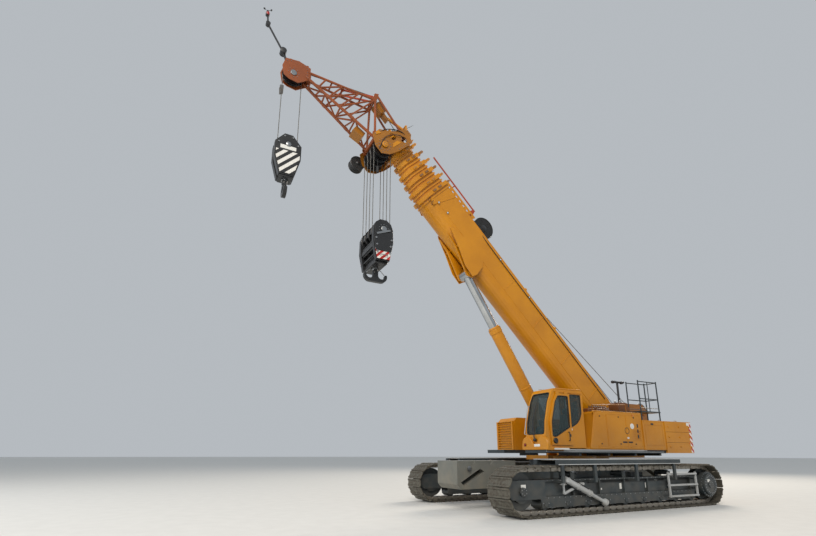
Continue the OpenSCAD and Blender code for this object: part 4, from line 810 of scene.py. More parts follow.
pipes = [hose([from_axis(x, FACE_Y - y, z) for x, y in ((-3.1, 0.05), (-1.5, 0.04), (0.4, 0.05),
                                                        (1.6, 0.04))], 0.014) for z in (0.86, 0.82)]
piece("frame_bolts", both_sides(frame_bolts), machined_steel, "undercarriage")
piece("roller_axle_caps", both_sides(axle_caps), chassis_enamel, "undercarriage")
piece("blank_plates_on_frames", both_sides(signs), white_plate, "undercarriage")
piece("grease_pipes", both_sides(pipes), black_rubber, "undercarriage")
print("bolt heads on the side frames:", 2 * len(frame_bolts))

# %% [markdown]
# The walkways are open gratings: flat bars set close together in a frame, which the solids only hint at
# with slots. Their long edges wear a pale kick strip, which reads as a light line in every photograph.

# %% Gratings and edge strips
WALK_Y0, WALK_Y1 = TRACK_Y - 0.42, TRACK_Y + 0.53
WALK_MIDDLE, WALK_HALF = SLEW_X + 0.455, 2.55
WALK_X0, WALK_X1 = WALK_MIDDLE - WALK_HALF, WALK_MIDDLE + WALK_HALF
WALK_TOP = track_high[2] + 0.17
grating = [block((x - 0.003, WALK_Y0 + 0.12, WALK_TOP - 0.036), (x + 0.003, WALK_Y1 - 0.12, WALK_TOP + 0.004),
                 0.001) for x in np.arange(WALK_X0 + 0.14, WALK_X1 - 0.12, 0.04)]
grating += [block((WALK_X0 + 0.12, y - 0.004, WALK_TOP - 0.034),
                  (WALK_X1 - 0.12, y + 0.004, WALK_TOP + 0.002), 0.001)
            for y in np.arange(WALK_Y0 + 0.18, WALK_Y1 - 0.12, 0.12)]
strips = [block((WALK_X0, y - 0.006, z), (WALK_X1, y + 0.006, z + 0.022), 0.003)
          for y in (WALK_Y0, WALK_Y1) for z in (WALK_TOP - 0.15, WALK_TOP - 0.018)]
strips += [block((x - 0.006, WALK_Y0, WALK_TOP - 0.018), (x + 0.006, WALK_Y1, WALK_TOP + 0.004), 0.003)
           for x in (WALK_X0, WALK_X1)]
TREADS_X, TREADS_W = -2.325, 1.40
ladder = [block(from_axis(x - 0.03, FACE_Y + 0.115, 0.295), from_axis(x + 0.03, FACE_Y + 0.175, 1.055), 0.012)
          for x in (TREADS_X - TREADS_W / 2 + 0.025, TREADS_X + TREADS_W / 2 - 0.025)]
ladder += [block(from_axis(TREADS_X - TREADS_W / 2 + 0.015, FACE_Y + 0.085, z - 0.005),
                 from_axis(TREADS_X + TREADS_W / 2 - 0.015, FACE_Y + 0.205, z + 0.05), 0.01)
           for z in (0.32, 0.645, 0.97)]
piece("silver_treads", both_sides(ladder), silver_enamel, "undercarriage")
piece("walkway_gratings", both_sides(grating), bright_steel, "undercarriage")
piece("walkway_edge_strips", both_sides(strips), silver_enamel, "undercarriage")

# %% [markdown]
# ## Slewing ring, cross beams and ballast
# The slewing ring is bolted down on a flange with dozens of bolts, and each cross beam is locked to its
# side frame with a heavy pin. The ballast blocks have sunk lifting points on top and cast dimples in
# their sides.

# %% Ring bolts, lock pins, ballast fittings
body_bolts = bolt_circle(from_axis(0, 0, 1.22), Z, 1.165, 48, 0.02, 0.026)
lock_pins = []
LOCK_Y, LOCK_Z = 1.72, 1.05
for x in (TRACK_X - 1.15, TRACK_X + 1.15):
    for side in (1, -1):
        body_bolts += bolt_circle((x, side * LOCK_Y, LOCK_Z), Z, 0.1, 6, 0.016, 0.014)
    lock_pins += both_sides([cap((x, LOCK_Y, LOCK_Z), Z, (0.07, 0.055), (0.05, 0.06), 24)])
piece("car_body_bolts", body_bolts, machined_steel, "undercarriage")
piece("cross_beam_lock_pins", lock_pins, silver_enamel, "undercarriage")

ballast_bits = []
for sign in (1, -1):
    for along in (2.67, 4.26):
        x = TRACK_X + sign * along
        ballast_bits.append(lifting_eye((x, 0.36, 1.36), 0.03, 0.06, 0.034, 0.012))
        dimple_x = TRACK_X + sign * (2.77 if along < 3 else 4.16)
        ballast_bits.append(disc((dimple_x, 0.63, 1.175), Y, 0.075, 0.01, 24))
piece("ballast_fittings", both_sides(ballast_bits), machined_steel, "undercarriage")

# %% [markdown]
# ## Folded jack
# On each side frame hangs a silver hydraulic jack that lifts the crane for transport. Its cylinder has
# collars, a gland with a ring of bolts, two thin pipes along its barrel and a foot plate on a ball.

# %% Jack details
JACK_Y = FACE_Y + 0.11
jack_top, jack_foot = from_axis(2.62, JACK_Y, 0.94), from_axis(1.18, JACK_Y, 0.285)
reach = jack_foot - jack_top
along = unit(reach)
over = np.cross(along, Y)
jack_bits = [spin(jack_top + reach * t, along, [(0, 0.078), (0.004, 0.09), (0.034, 0.09), (0.038, 0.078)], 24)
             for t in (0.06, 0.3, 0.56, 0.605)]
jack_bits.append(spin(jack_foot - along * 0.03, along, [(-0.1, 0.045), (-0.02, 0.085), (0.03, 0.1)], 24))
jack_bits += bolt_circle(jack_top + reach * 0.625, along, 0.062, 6, 0.01, 0.012)
jack_bits += bolt_row(from_axis(2.56, FACE_Y + 0.06, 0.82), from_axis(2.68, FACE_Y + 0.06, 0.82), 2, Y)
jack_pipes = [hose([jack_top + over * off * 0.8, jack_top + reach * 0.2 + over * off, jack_top + reach * 0.4
                    + over * off, jack_top + reach * 0.58 + over * off * 0.85], 0.011) for off in (0.1, -0.1)]
jack_pipes.append(hose([jack_top + over * 0.08, jack_top + over * 0.12 + 0.16 * X,
                        from_axis(2.9, FACE_Y + 0.03, 0.88), from_axis(2.95, FACE_Y - 0.03, 0.86)], 0.012))
piece("jack_fittings", both_sides(jack_bits), silver_enamel, "undercarriage")
piece("jack_pipes", both_sides(jack_pipes), black_rubber, "undercarriage")
print("undercarriage pieces:", len(PIECES))

# %% [markdown]
# ## The cab
# A cab is told from a box by its rubber. Every pane sits in a dark seal, so a closed cord is carried round
# each window's outline. The outline is first walked at an even pace, because the windscreen is bent: with
# enough points on its long edges the cord follows the bend.

# %% Closed cords round the panes
def even_loop(outline, count):
    """Points at an even pace round a closed outline: its length is summed edge by edge and shared out."""
    closed = np.vstack([outline, outline[:1]])
    length = np.append(0, np.cumsum(np.linalg.norm(np.diff(closed, axis=0), axis=1)))
    where = np.linspace(0, length[-1], count, endpoint=False)
    return np.stack([np.interp(where, length, column) for column in closed.T], -1)


def seal(path, radius, sides=8):
    """A circle carried round a closed path. The direction at a point runs from the one before to the next."""
    side, up = square_to(unit(np.roll(path, -1, 0) - np.roll(path, 1, 0)))
    angle = even_turn(sides)[None, :, None]
    ring_points = radius * (np.cos(angle) * side[:, None] + np.sin(angle) * up[:, None])
    return lidded(path[:, None] + ring_points, closed_u=True)


CAB_FRONT = np.array([(1.776, 2.023), (2.156, 2.103), (2.576, 2.063), (3.189, 1.897), (3.519, 1.741),
                      (3.609, 1.651)])
CAB_Y0, CAB_Y1, CAB_REAR, CAB_TOP = 0.608, 1.497, 0.433, 3.609
CAB_MIDDLE = (CAB_Y0 + CAB_Y1) / 2
DOOR_Y = 1.543


def cab_front(z):
    """How far ahead of the slewing axis the cab's front face stands at a height."""
    return np.interp(z, CAB_FRONT[:, 0], CAB_FRONT[:, 1])


def on_side_wall(outline, y, count=48):
    """A closed outline of x and z on a wall across the crane, at an even pace."""
    x, z = even_loop(outline, count).T
    return np.stack([SLEW_X + x, y + 0 * x, z], -1)


def on_windscreen(outline):
    """A closed outline of y and z on the bent front of the cab, at an even pace."""
    y, z = even_loop(outline, 64).T
    return np.stack([SLEW_X + cab_front(z), y, z], -1)


screen = rectangle(0.749, 1.283, 0.07, 6) + [CAB_MIDDLE, 2.8375]
door_pane = [(1.128, 2.416), (1.743, 2.106), (1.853, 2.136), (1.848, 2.576), (1.667, 3.189), (1.531, 3.379),
             (1.128, 3.379)]
side_pane = [(0.523, 3.449), (0.523, 2.856), (0.613, 2.676), (0.733, 2.546), (0.988, 2.416), (0.988, 3.449)]
seals = [seal(on_windscreen(screen), 0.016), seal(on_side_wall(side_pane, CAB_Y1 - 0.012), 0.015)]
seals.append(seal(on_side_wall(rectangle(0.958, 0.913, 0.05, 4) + [1.032, 2.9925], CAB_Y0), 0.015))
rear_y, rear_z = even_loop(rectangle(0.629, 0.753, 0.05, 4) + [CAB_MIDDLE, 3.0525], 48).T
seals.append(seal(np.stack([SLEW_X + CAB_REAR + 0 * rear_y, rear_y, rear_z], -1), 0.015))
roof_x, roof_y = even_loop(rectangle(0.598, 0.529, 0.05, 4) + [1.152, CAB_MIDDLE], 48).T
seals.append(seal(np.stack([SLEW_X + roof_x, roof_y, CAB_TOP + 0 * roof_x], -1), 0.014))
piece("window_seals", seals, black_rubber, "superstructure")
piece("door_seal", [seal(on_side_wall(door_pane, DOOR_Y - 0.003), 0.015)], black_rubber, "cab_door")
print("seal cords:", len(seals) + 1)

# %% [markdown]
# A raised rim runs round the roof and throws the rain clear. Below the windscreen hangs an apron with two
# rounded lobes that carries the lamps and the wiper's foot. The wiper is two arms and a blade that follow
# the pane, and handrails let the operator climb in.

# %% Roof rim, apron, wiper, lamps and rails
roof_edge = even_loop(rectangle(1.215, 0.885, 0.07, 6) + [1.047, CAB_MIDDLE], 72)
roof_bend = np.interp(roof_edge[:, 0], [1.50, 1.6545], [0.0, 0.02])
rim = seal(np.stack([SLEW_X + roof_edge[:, 0], roof_edge[:, 1], CAB_TOP + 0.004 - roof_bend], -1), 0.02)
lobes = smooth_path([(1.585, 1.72), (1.59, 1.93), (1.5, 2.08), (1.36, 2.12), (1.22, 2.07), (1.12, 1.93),
                     (1.03, 1.885), (0.93, 1.93), (0.83, 2.07), (0.68, 2.12), (0.53, 2.08), (0.45, 1.93),
                     (0.44, 1.72)], 5)
apron = prism(lobes, from_axis(2.03, 0, 0), 0.105 * X, Y, Z, 0.012)
corner = block(from_axis(1.45, 1.49, 1.70), from_axis(2.08, 1.575, 1.80), 0.02)
piece("cab_apron", [rim, apron, corner], golden_enamel, "superstructure")

blade_z = np.linspace(2.28, 3.15, 12)
blade = np.stack([SLEW_X + cab_front(blade_z) + 0.03, 0.93 + 0.04 * (blade_z - 2.28), blade_z], -1)
arm_z = np.linspace(2.06, 2.72, 9)
arms = [tube(np.stack([SLEW_X + cab_front(arm_z) + 0.05, 1.02 + dy - 0.08 * (arm_z - 2.06) / 0.66, arm_z],
                      -1), 0.008, 6) for dy in (0.0, 0.035)]
hub = [(-0.03, 0.05), (0.03, 0.05), (0.045, 0.035), (0.05, POINT_R)]
wiper = [tube(blade, 0.011, 6), *arms, spin(from_axis(2.12, 1.03, 2.02), X, hub, 24)]
wiper += work_lamp(from_axis(2.15, 0.60, 1.88), X, 0.045)[:1]
piece("wiper_and_lamp_housings", wiper, dark_abs, "superstructure")
piece("apron_lamp_lens", work_lamp(from_axis(2.15, 0.60, 1.88), X, 0.045)[1:], red_lens, "superstructure")
plates = [plate_on(from_axis(2.134, 1.126, 1.857), X, Z, 0.26, 0.075),
          plate_on(from_axis(1.56, 1.575, 1.752), Y, Z, 0.62, 0.05),
          plate_on(from_axis(1.02, 1.497, 2.35), Y, Z, 0.09, 0.09, 0.006, 0.04)]
piece("blank_plates_on_cab", plates, white_plate, "superstructure")
rails = [grab_handle(from_axis(cab_front(2.2), 0.64, 2.2), from_axis(cab_front(3.1), 0.64, 3.1), X, 0.08),
          grab_handle(from_axis(0.6, 0.66, CAB_TOP), from_axis(1.5, 0.66, CAB_TOP), Z, 0.08)]
hood_rail = tube([from_axis(-0.22, 1.3, 2.9), from_axis(-0.22, 1.3, 3.2), from_axis(-1.0, 1.301, 3.24),
                   from_axis(-1.85, 1.302, 3.28), from_axis(-1.86, 1.303, 2.95)], 0.016, 8)
piece("cab_rails", rails, silver_enamel, "superstructure")
piece("hood_rail", [hood_rail], ochre_enamel, "superstructure")
dish = [(0, 0.085), (0.03, 0.085), (0.045, 0.07), (0.04, 0.05), (0.03, 0.02)]
door_lamp = [spin(from_axis(1.765, DOOR_Y - 0.004, 1.996), Y, dish, 32)]
door_lamp.append(grab_handle(from_axis(1.2, DOOR_Y, 2.0), from_axis(1.2, DOOR_Y, 2.26), Y, 0.05))
door_lamp.append(block(from_axis(1.1, DOOR_Y - 0.005, 2.12), from_axis(1.16, DOOR_Y + 0.02, 2.2), 0.008))
piece("door_lamp_and_handle", door_lamp, dark_abs, "cab_door")
print("apron points:", len(lobes))

# %% [markdown]
# ## The operator's seat
# A seat is upholstery, so its solid is replaced. Each cushion is a crowned form: its outline is a
# superellipse whose sides pull in between the corners, its thickness swells towards the middle, and two
# sewn channels are pressed in along it. The whole form comes from one formula on a grid.

# %% Cushions with sewn channels
def cushion(centre, x_dir, y_dir, up, size, seams=(-0.45, 0.45)):
    """A superellipse outline of fourth power, drawn in as it nears top and bottom and crowned in the middle.

    The height is the cosine of a turn from the foot to the crown, the outline grows with the square root of
    its sine, and the crown sinks by a narrow bell curve at each seam.
    """
    turn = np.linspace(0, np.pi, 36)[:, None]
    angle = even_turn(72)[None, :]
    grow = np.sin(turn) ** 0.45
    waist = 1 - 0.05 * np.abs(np.cos(2 * angle)) ** 2
    x = grow * waist * np.sign(np.cos(angle)) * np.abs(np.cos(angle)) ** 0.5
    y = grow * waist * np.sign(np.sin(angle)) * np.abs(np.sin(angle)) ** 0.5
    top = np.clip(-np.cos(turn), 0, 1) * np.ones_like(x)
    crown = 0.3 * top * (1 - x * x) * (1 - y * y)
    sewn = sum(0.16 * top * np.exp(-((y - seam) / 0.05) ** 2) for seam in seams)
    z = 0.5 * (1 + np.sign(-np.cos(turn)) * np.abs(np.cos(turn)) ** 0.6) + crown - sewn
    half_x, half_y, height = size[0] / 2, size[1] / 2, size[2]
    points = (np.asarray(centre) + (x * half_x)[..., None] * x_dir + (y * half_y)[..., None] * y_dir
              + (z * height)[..., None] * up)
    return lidded(points)


SEAT = from_axis(0.993, CAB_MIDDLE, 1.8243)
lean = unit([-0.13, 0, 1])
forward_lean = np.cross(Y, lean)
pads = {
    "seat_cushion": cushion(SEAT + [0.005, 0, 0.262], X, Y, Z, (0.52, 0.52, 0.13)),
    "back_cushion": cushion(SEAT + [-0.25, 0, 0.72], lean, Y, forward_lean, (0.64, 0.48, 0.12)),
    "head_cushion": cushion(SEAT + [-0.30, 0, 1.14], lean, Y, forward_lean, (0.18, 0.28, 0.10), ()),
    "armrest_pad_left": cushion(SEAT + [0.01, 0.33, 0.50], X, Y, Z, (0.42, 0.08, 0.05), ()),
    "armrest_pad_right": cushion(SEAT + [0.01, -0.33, 0.50], X, Y, Z, (0.42, 0.08, 0.05), ())}
frame_of_seat = [block(SEAT + [-0.18, -0.18, 0], SEAT + [0.18, 0.18, 0.1], 0.02),
                 block(SEAT + [-0.12, -0.14, 0.1], SEAT + [0.12, 0.14, 0.2], 0.02),
                 block(SEAT + [-0.25, -0.24, 0.2], SEAT + [0.25, 0.24, 0.27], 0.025),
                 bar(SEAT + [-0.26, 0, 0.25], SEAT + [-0.34, 0, 1.1], 0.4, 0.03, X, 0.01)]
for side in (1, -1):
    frame_of_seat.append(tube([SEAT + [-0.27, side * 0.26, 0.4], SEAT + [-0.2, side * 0.33, 0.48],
                               SEAT + [0.18, side * 0.331, 0.49]], 0.018, 8))
    frame_of_seat.append(tube([SEAT + [-0.318, side * 0.07, 0.9], SEAT + [-0.33, side * 0.0701, 1.1],
                               SEAT + [-0.325, side * 0.0702, 1.2]], 0.008, 8))
piece("seat_frame", frame_of_seat, dark_abs, "superstructure", replaces=["cab_seat"])
for name, shape in pads.items():
    pad = piece(name, [shape], seat_cloth, "superstructure")
sticks = []
for side in (1, -1):
    foot = SEAT + [0.24, side * 0.33, 0.46]
    sticks += [tube([foot, foot + [0.02, 0, 0.08], foot + [0.03, 0.001, 0.15]], 0.008, 8),
               spin(foot + [0.03, 0, 0.15], Z, [(0, 0.012), (0.02, 0.024), (0.06, 0.028), (0.1, 0.02),
                                                (0.115, POINT_R)], 16)]
sticks += [plate_on(SEAT + [0.8, 0, 0.72], unit([-1, 0, 0.35]), Z, 0.3, 0.2, 0.03, 0.02),
           block(SEAT + [0.45, -0.12, 0.0], SEAT + [0.6, -0.03, 0.02], 0.006),
           block(SEAT + [0.45, 0.03, 0.0], SEAT + [0.6, 0.12, 0.02], 0.006)]
piece("levers_screen_and_pedals", sticks, dark_abs, "superstructure")
print("padded pieces:", len(pads))

# %% [markdown]
# ## Hoods, housing and counterweight
# Sheet metal is folded, so its edges shine: a rounded bead runs along the hood's slanted front and its top.
# The doors have latches, a sunk round handle, a round blank plate and ventilation slots. The slabs of the
# counterweight wear warning stripes on their rear corners.

# %% Beads, latches, plates and slots
HOOD_Y, BACK_Y, WEIGHT_Y = 1.482, 1.512, 1.534
HOOD_TOP, WEIGHT_TOP, WEIGHT_REAR = 2.982, 2.75, -5.116
edge = [(0.205, 1.78), (-0.06, 2.86), (-0.082, 2.912), (-0.153, 2.979), (-2.34, HOOD_TOP)]
beads = [tube([from_axis(x, HOOD_Y - 0.012, z) for x, z in smooth_path(edge, 4)], 0.02, 10),
         tube([from_axis(x, 0.60, z) for x, z in smooth_path(edge, 4)], 0.02, 10)]
beads.append(block(from_axis(-2.34, HOOD_Y - 0.01, 1.76), from_axis(0.19, HOOD_Y + 0.012, 1.80), 0.01))
for x0, x1, z0, z1 in ((-0.60, -0.1, 1.86, 2.86), (-1.54, -0.66, 1.86, 2.9), (-2.28, -1.62, 1.86, 2.9)):
    slant = 0.22 if x1 > -0.2 else 0.0
    corners = [(x0, z0), (x1 + slant, z0), (x1, z1), (x0, z1)]
    beads.append(seal(on_side_wall(corners, HOOD_Y, 40), 0.005, 6))
piece("hood_beads_and_door_edges", beads, golden_enamel, "superstructure")

dish = [(0, 0.11), (0.014, 0.11), (0.02, 0.1), (0.008, 0.085), (0.004, 0.02)]
dark_bits = [spin(from_axis(-1.572, HOOD_Y - 0.012, 2.369), Y, dish, 32)]
dark_bits += [block(from_axis(-2.15, HOOD_Y - 0.01, z), from_axis(-2.09, HOOD_Y + 0.006, z + 0.12), 0.004)
              for z in (2.13, 2.31, 2.49)]
dark_bits += [block(from_axis(x, HOOD_Y - 0.01, 1.965), from_axis(x + 0.22, HOOD_Y + 0.006, 2.015), 0.004)
              for x in (-1.8, -1.53)]
dark_bits += [block(from_axis(-2.93, BACK_Y - 0.01, 2.60), from_axis(-2.79, BACK_Y + 0.012, 2.66), 0.008)]
for x in (-0.3, -1.2, -1.95):
    dark_bits += [disc(from_axis(x, HOOD_Y, z), Y, 0.02, 0.02, 16) for z in (1.93, 2.82)]
piece("hood_slots_and_latches", dark_bits, dark_abs, "superstructure")
signs = [plate_on(from_axis(-1.846, HOOD_Y, 2.528), Y, Z, 0.19, 0.19, 0.006, 0.094),
         plate_on(from_axis(-1.60, HOOD_Y, 2.13), Y, Z, 0.1, 0.06),
         plate_on(from_axis(-4.85, WEIGHT_Y, 2.68), Y, Z, 0.16, 0.1)]
piece("blank_plates_on_hoods", signs, white_plate, "superstructure")
markers = work_lamp(from_axis(-1.91, HOOD_Y + 0.01, 2.894), Y, 0.04)
piece("side_marker_lamps", [markers[1], moved(markers[1], (-2.9, 0.05, -0.9))], amber_lens, "superstructure")
deck_bolts = [disc(from_axis(x, HOOD_Y, 1.83), Y, 0.022, 0.016) for x in (-0.18, -0.83, -1.7)]
deck_bolts += bolt_row(from_axis(-3.45, BACK_Y, 1.78), from_axis(-2.42, BACK_Y, 1.78), 6, Y)
deck_bolts += bolt_row(from_axis(-3.45, BACK_Y, 2.72), from_axis(-2.42, BACK_Y, 2.72), 6, Y)
for z in (1.86, 2.2, 2.57):
    deck_bolts += bolt_row(from_axis(-4.9, WEIGHT_Y, z), from_axis(-3.7, WEIGHT_Y, z), 3, Y, 0.03, 0.024)
    deck_bolts += bolt_row(from_axis(WEIGHT_REAR, -1.2, z), from_axis(WEIGHT_REAR, 1.2, z), 6, -X, 0.03,
                           0.024)
deck_bolts += bolt_row(from_axis(-2.3, 0.75, HOOD_TOP), from_axis(-0.3, 0.75, HOOD_TOP), 9, Z)
deck_bolts += bolt_row(from_axis(-3.3, -1.482, 1.80), from_axis(1.4, -1.482, 1.80), 16, -Y)
piece("hood_and_weight_bolts", deck_bolts, golden_enamel, "superstructure")
right_doors = []
for x0, x1 in ((-2.55, -1.55), (-1.45, -0.45), (-0.35, 0.6), (0.7, 1.35)):
    corners = rectangle(x1 - x0, 0.86, 0.04, 4) + [(x0 + x1) / 2, 2.27]
    right_doors.append(seal(on_side_wall(corners, -HOOD_Y), 0.006, 6))
    right_doors += [bar(from_axis(x0 + 0.12, -HOOD_Y, z), from_axis(x1 - 0.12, -HOOD_Y, z), 0.03, 0.016, Z,
                        0.004) for z in np.arange(2.35, 2.62, 0.06)]
piece("right_hood_doors", right_doors, golden_enamel, "superstructure")
latches = [cap(from_axis(x, -HOOD_Y, 2.0), -Y, (0.035, 0.026), (0.012, 0.016), 20)
           for x in (-2.45, -1.35, -0.25, 0.8)]
piece("right_hood_latches", latches, dark_abs, "superstructure")
print("bolts on the superstructure:", len(deck_bolts))

# %% Stripes, handles and lifting eyes of the counterweight
quarter = np.linspace(0, np.pi / 2, 9)
CORNER_X, CORNER_Y, CORNER_R = -4.986, 1.404, 0.131
arc_x, arc_y = CORNER_X - CORNER_R * np.cos(quarter), CORNER_Y + CORNER_R * np.sin(quarter)
strip_xy = np.vstack([np.stack([arc_x, arc_y], -1), [[-4.88, 1.5355]]])
inner_xy = strip_xy[::-1] + [0.02, -0.02]
outline = np.vstack([strip_xy, inner_xy])
stripes = [prism(outline, from_axis(0, 0, z0), h * Z, X, Y) for z0, h in ((1.66, 0.34), (2.03, 0.34),
                                                                          (2.41, 0.33))]
piece("weight_corner_stripes", both_sides(stripes), side_stripes, "superstructure")
rear_bands = [plate_on(from_axis(WEIGHT_REAR, y, 2.66), -X, Z, 0.9, 0.12, 0.003, 0.01) for y in (-0.8, 0.8)]
piece("weight_rear_stripes", rear_bands, rear_stripes, "superstructure")
eyes = [lifting_eye(from_axis(x, y, WEIGHT_TOP), 0.05, 0.05, 0.08, 0.016) for x in (-4.8, -3.9)
        for y in (-1.1, 1.1)]
eyes += [cap(from_axis(-4.3, y, 2.755), Z, (0.14, 0.12), (0.02, 0.03), 32) for y in (-0.6, 0.6)]
piece("weight_eyes", eyes, silver_enamel, "superstructure")
rear_lamps = [spin(from_axis(WEIGHT_REAR, y, 1.78), -X, [(0, 0.06), (0.02, 0.06), (0.03, 0.045),
                                                         (0.034, POINT_R)], 24) for y in (-1.15, 1.15)]
piece("rear_lamps", rear_lamps, red_lens, "superstructure")

# %% [markdown]
# ## The deck
# A pale strip edges the deck, and a yellow column stands between cab and hood. On top of the hood the real
# machine is a tangle of valves, pipes and hoses. The tangle is made of a few honest parts: a valve chest
# with a row of spools, pipe runs with clamps, and hoses that arch over to the boom's foot.

# %% Deck edge, column, valves and hoses
DECK_Y = 1.458
edge_strip = both_sides([block(from_axis(-2.5, DECK_Y, 1.70), from_axis(2.1, DECK_Y + 0.016, 1.745), 0.004)])
edge_strip += both_sides([block(from_axis(-3.4, DECK_Y, 1.66), from_axis(2.1, DECK_Y + 0.008, 1.68), 0.003)])
piece("deck_edge_strips", edge_strip, silver_enamel, "superstructure")
column = [block(from_axis(-0.13, 0.62, 1.75), from_axis(0.12, 0.95, 3.3), 0.03),
          block(from_axis(-0.16, 0.59, 3.28), from_axis(0.15, 0.98, 3.35), 0.02),
          block(from_axis(0.2, 0.95, 1.75), from_axis(0.42, 1.46, 1.80), 0.01)]
piece("column_behind_cab", column, golden_enamel, "superstructure")

valves, hoses, silver_bits = [], [], []
for k in range(7):
    x = -1.44 + 0.11 * k
    valves.append(block(from_axis(x - 0.04, 0.66, 3.085), from_axis(x + 0.04, 0.94, 3.2), 0.01))
    silver_bits.append(spin(from_axis(x, 0.80, 3.2), Z, [(0, 0.03), (0.02, 0.03), (0.025, 0.02),
                                                         (0.06, 0.02)], 12))
    hoses.append(hose([from_axis(x, 0.68, 3.16), from_axis(x - 0.05, 0.62, 3.25),
                       from_axis(x - 0.13, 0.585, 3.16), from_axis(x - 0.15, 0.575, 2.99)], 0.017))
valves += [block(from_axis(-2.26, 0.68, 3.2), from_axis(-1.74, 1.1, 3.38), 0.02),
           block(from_axis(-0.62, 0.7, 2.98), from_axis(-0.3, 1.05, 3.12), 0.02),
           spin(from_axis(-0.9, 1.12, 3.06), X, [(-0.3, POINT_R), (-0.3, 0.05), (-0.28, 0.065), (0.28, 0.065),
                                                 (0.3, 0.05), (0.3, POINT_R)], 24)]
for k in range(4):
    y = 1.18 + 0.05 * k
    hoses.append(hose([from_axis(-2.2, y, 3.02), from_axis(-1.4, y + 0.002, 3.03), from_axis(-0.5, y, 3.02),
                       from_axis(-0.2, y - 0.02, 3.0)], 0.014))
    x = (-2.0, -0.6)[k % 2]
    silver_bits.append(block(from_axis(x - 0.02, 1.14, 2.98), from_axis(x + 0.02, 1.37, 3.05), 0.006))
silver_bits += [spin(from_axis(-2.0, y, 3.38), Z, [(0, 0.05), (0.03, 0.05), (0.05, 0.035), (0.09, 0.035),
                                                   (0.1, 0.02)], 16) for y in (0.78, 1.0)]
piece("valve_chest", valves, unit_enamel, "superstructure")
piece("deck_hoses", hoses, black_rubber, "superstructure")
piece("valve_caps_and_clamps", silver_bits, machined_steel, "superstructure")
camera_heads = [block(from_axis(x - 0.055, 0.65, 4.14), from_axis(x + 0.055, 0.75, 4.24), 0.02)
                for x in (-2.56, -2.1)]
camera_heads += [spin(from_axis(-2.325, 0.70, 3.0), Z, [(0, 0.03), (0, 0.042), (0.02, 0.042), (0.02, 0.038),
                                                       (1.15, 0.038), (1.16, 0.02)], 20),
                 block(from_axis(-2.63, 0.665, 4.16), from_axis(-2.03, 0.735, 4.23), 0.01)]
camera_heads += [cap(from_axis(x, 0.75, 4.19), Y, (0.036, 0.025), (0.05, 0.06), 20) for x in (-2.56, -2.1)]
piece("camera_heads", camera_heads, dark_abs, "superstructure")
PLATFORM_Y = (0.93, 1.41)
treads = [block(from_axis(x - 0.003, PLATFORM_Y[0], 3.06), from_axis(x + 0.003, PLATFORM_Y[1], 3.093), 0.001)
          for x in np.arange(-3.46, -2.54, 0.045)]
treads += [tube([from_axis(-3.5, y, 3.2), from_axis(-3.0, y + 0.001, 3.2), from_axis(-2.51, y, 3.201)], 0.012,
                6) for y in PLATFORM_Y]
piece("platform_grating", treads, bright_steel, "superstructure")
print("hoses on deck:", len(hoses))

# %% [markdown]
# ## Winch drums
# The rope lies on its drum in even turns, a rope's width apart, in two layers. One long tube on a helix is
# quicker than a ring for each turn, and it is also what the real rope is.

# %% Rope on the drums
ROPE_R = 0.012
LAYERS = 2


def drum_rope(centre, drum_radius, width):
    """A helix: the angle runs on evenly, the sideways place goes to and fro once a layer, a rope apart."""
    turns = int(width / (2 * ROPE_R)) - 1
    t = np.linspace(0, turns * LAYERS, turns * LAYERS * 20)
    layer = np.minimum(np.floor(t / turns), LAYERS - 1)
    across = np.where(layer % 2 == 0, t - layer * turns, turns - (t - layer * turns)) / turns - 0.5
    r = drum_radius + ROPE_R + layer * 1.8 * ROPE_R
    angle = 2 * np.pi * t
    path = np.stack([r * np.cos(angle), across * (width - 2 * ROPE_R), r * np.sin(angle)], -1)
    return tube(np.asarray(centre) + path, ROPE_R, 6)


for word in ("front", "rear"):
    axis_point = joint_at(f"winch_{word}_turn")
    piece(f"rope_on_{word}_drum", [drum_rope(axis_point, 0.24, 0.6)], steel_rope_up, f"winch_{word}")
    flange = []
    for side in (1, -1):
        flange += bolt_circle(axis_point + side * 0.34 * Y, side * Y, 0.28, 16, 0.014, 0.012)
    flange += [cap(axis_point + side * 0.341 * Y, side * Y, (0.14, 0.11), (0.03, 0.045), 32)
               for side in (1, -1)]
    piece(f"{word}_drum_bolts", flange, machined_steel, f"winch_{word}")
frame_pins = []
for word in ("front", "rear"):
    place = joint_at(f"winch_{word}_turn")
    frame_pins += both_sides([spin(place + 0.39 * Y, Y, [(0, 0.13), (0.02, 0.13), (0.03, 0.11), (0.06, 0.11),
                                                         (0.07, 0.09)], 32)])
    frame_pins += both_sides(bolt_circle(place + 0.41 * Y, Y, 0.105, 8, 0.012, 0.012))
piece("winch_bearing_caps", frame_pins, ochre_enamel, "superstructure")
foot_caps = both_sides([cap(PIVOT + 0.545 * Y, Y, (0.12, 0.1), (0.02, 0.03), 32)])
foot_caps += both_sides(bolt_circle(PIVOT + 0.56 * Y, Y, 0.075, 6, 0.012, 0.014))
foot_caps += both_sides(bolt_circle(PIVOT + 0.545 * Y, Y, 0.155, 12, 0.012, 0.014))
piece("boom_pivot_caps", foot_caps, golden_enamel, "superstructure")

# %% [markdown]
# ## Along the boom
# The boom lies at a slant, so its fittings are laid out in its own measures: s along it, y across and v
# square to it. `on_boom` makes a block from those six numbers and `boom_plate` carries an outline of s and v
# across. Long weld beads run where its side plates are folded.

# %% Blocks, plates and beads in the boom's own measures
BASE_W, BASE_TOP, BASE_BOT = 0.41, 0.516, 0.721
BANDS_S = (0.9, 2.6, 4.3, 6.0)


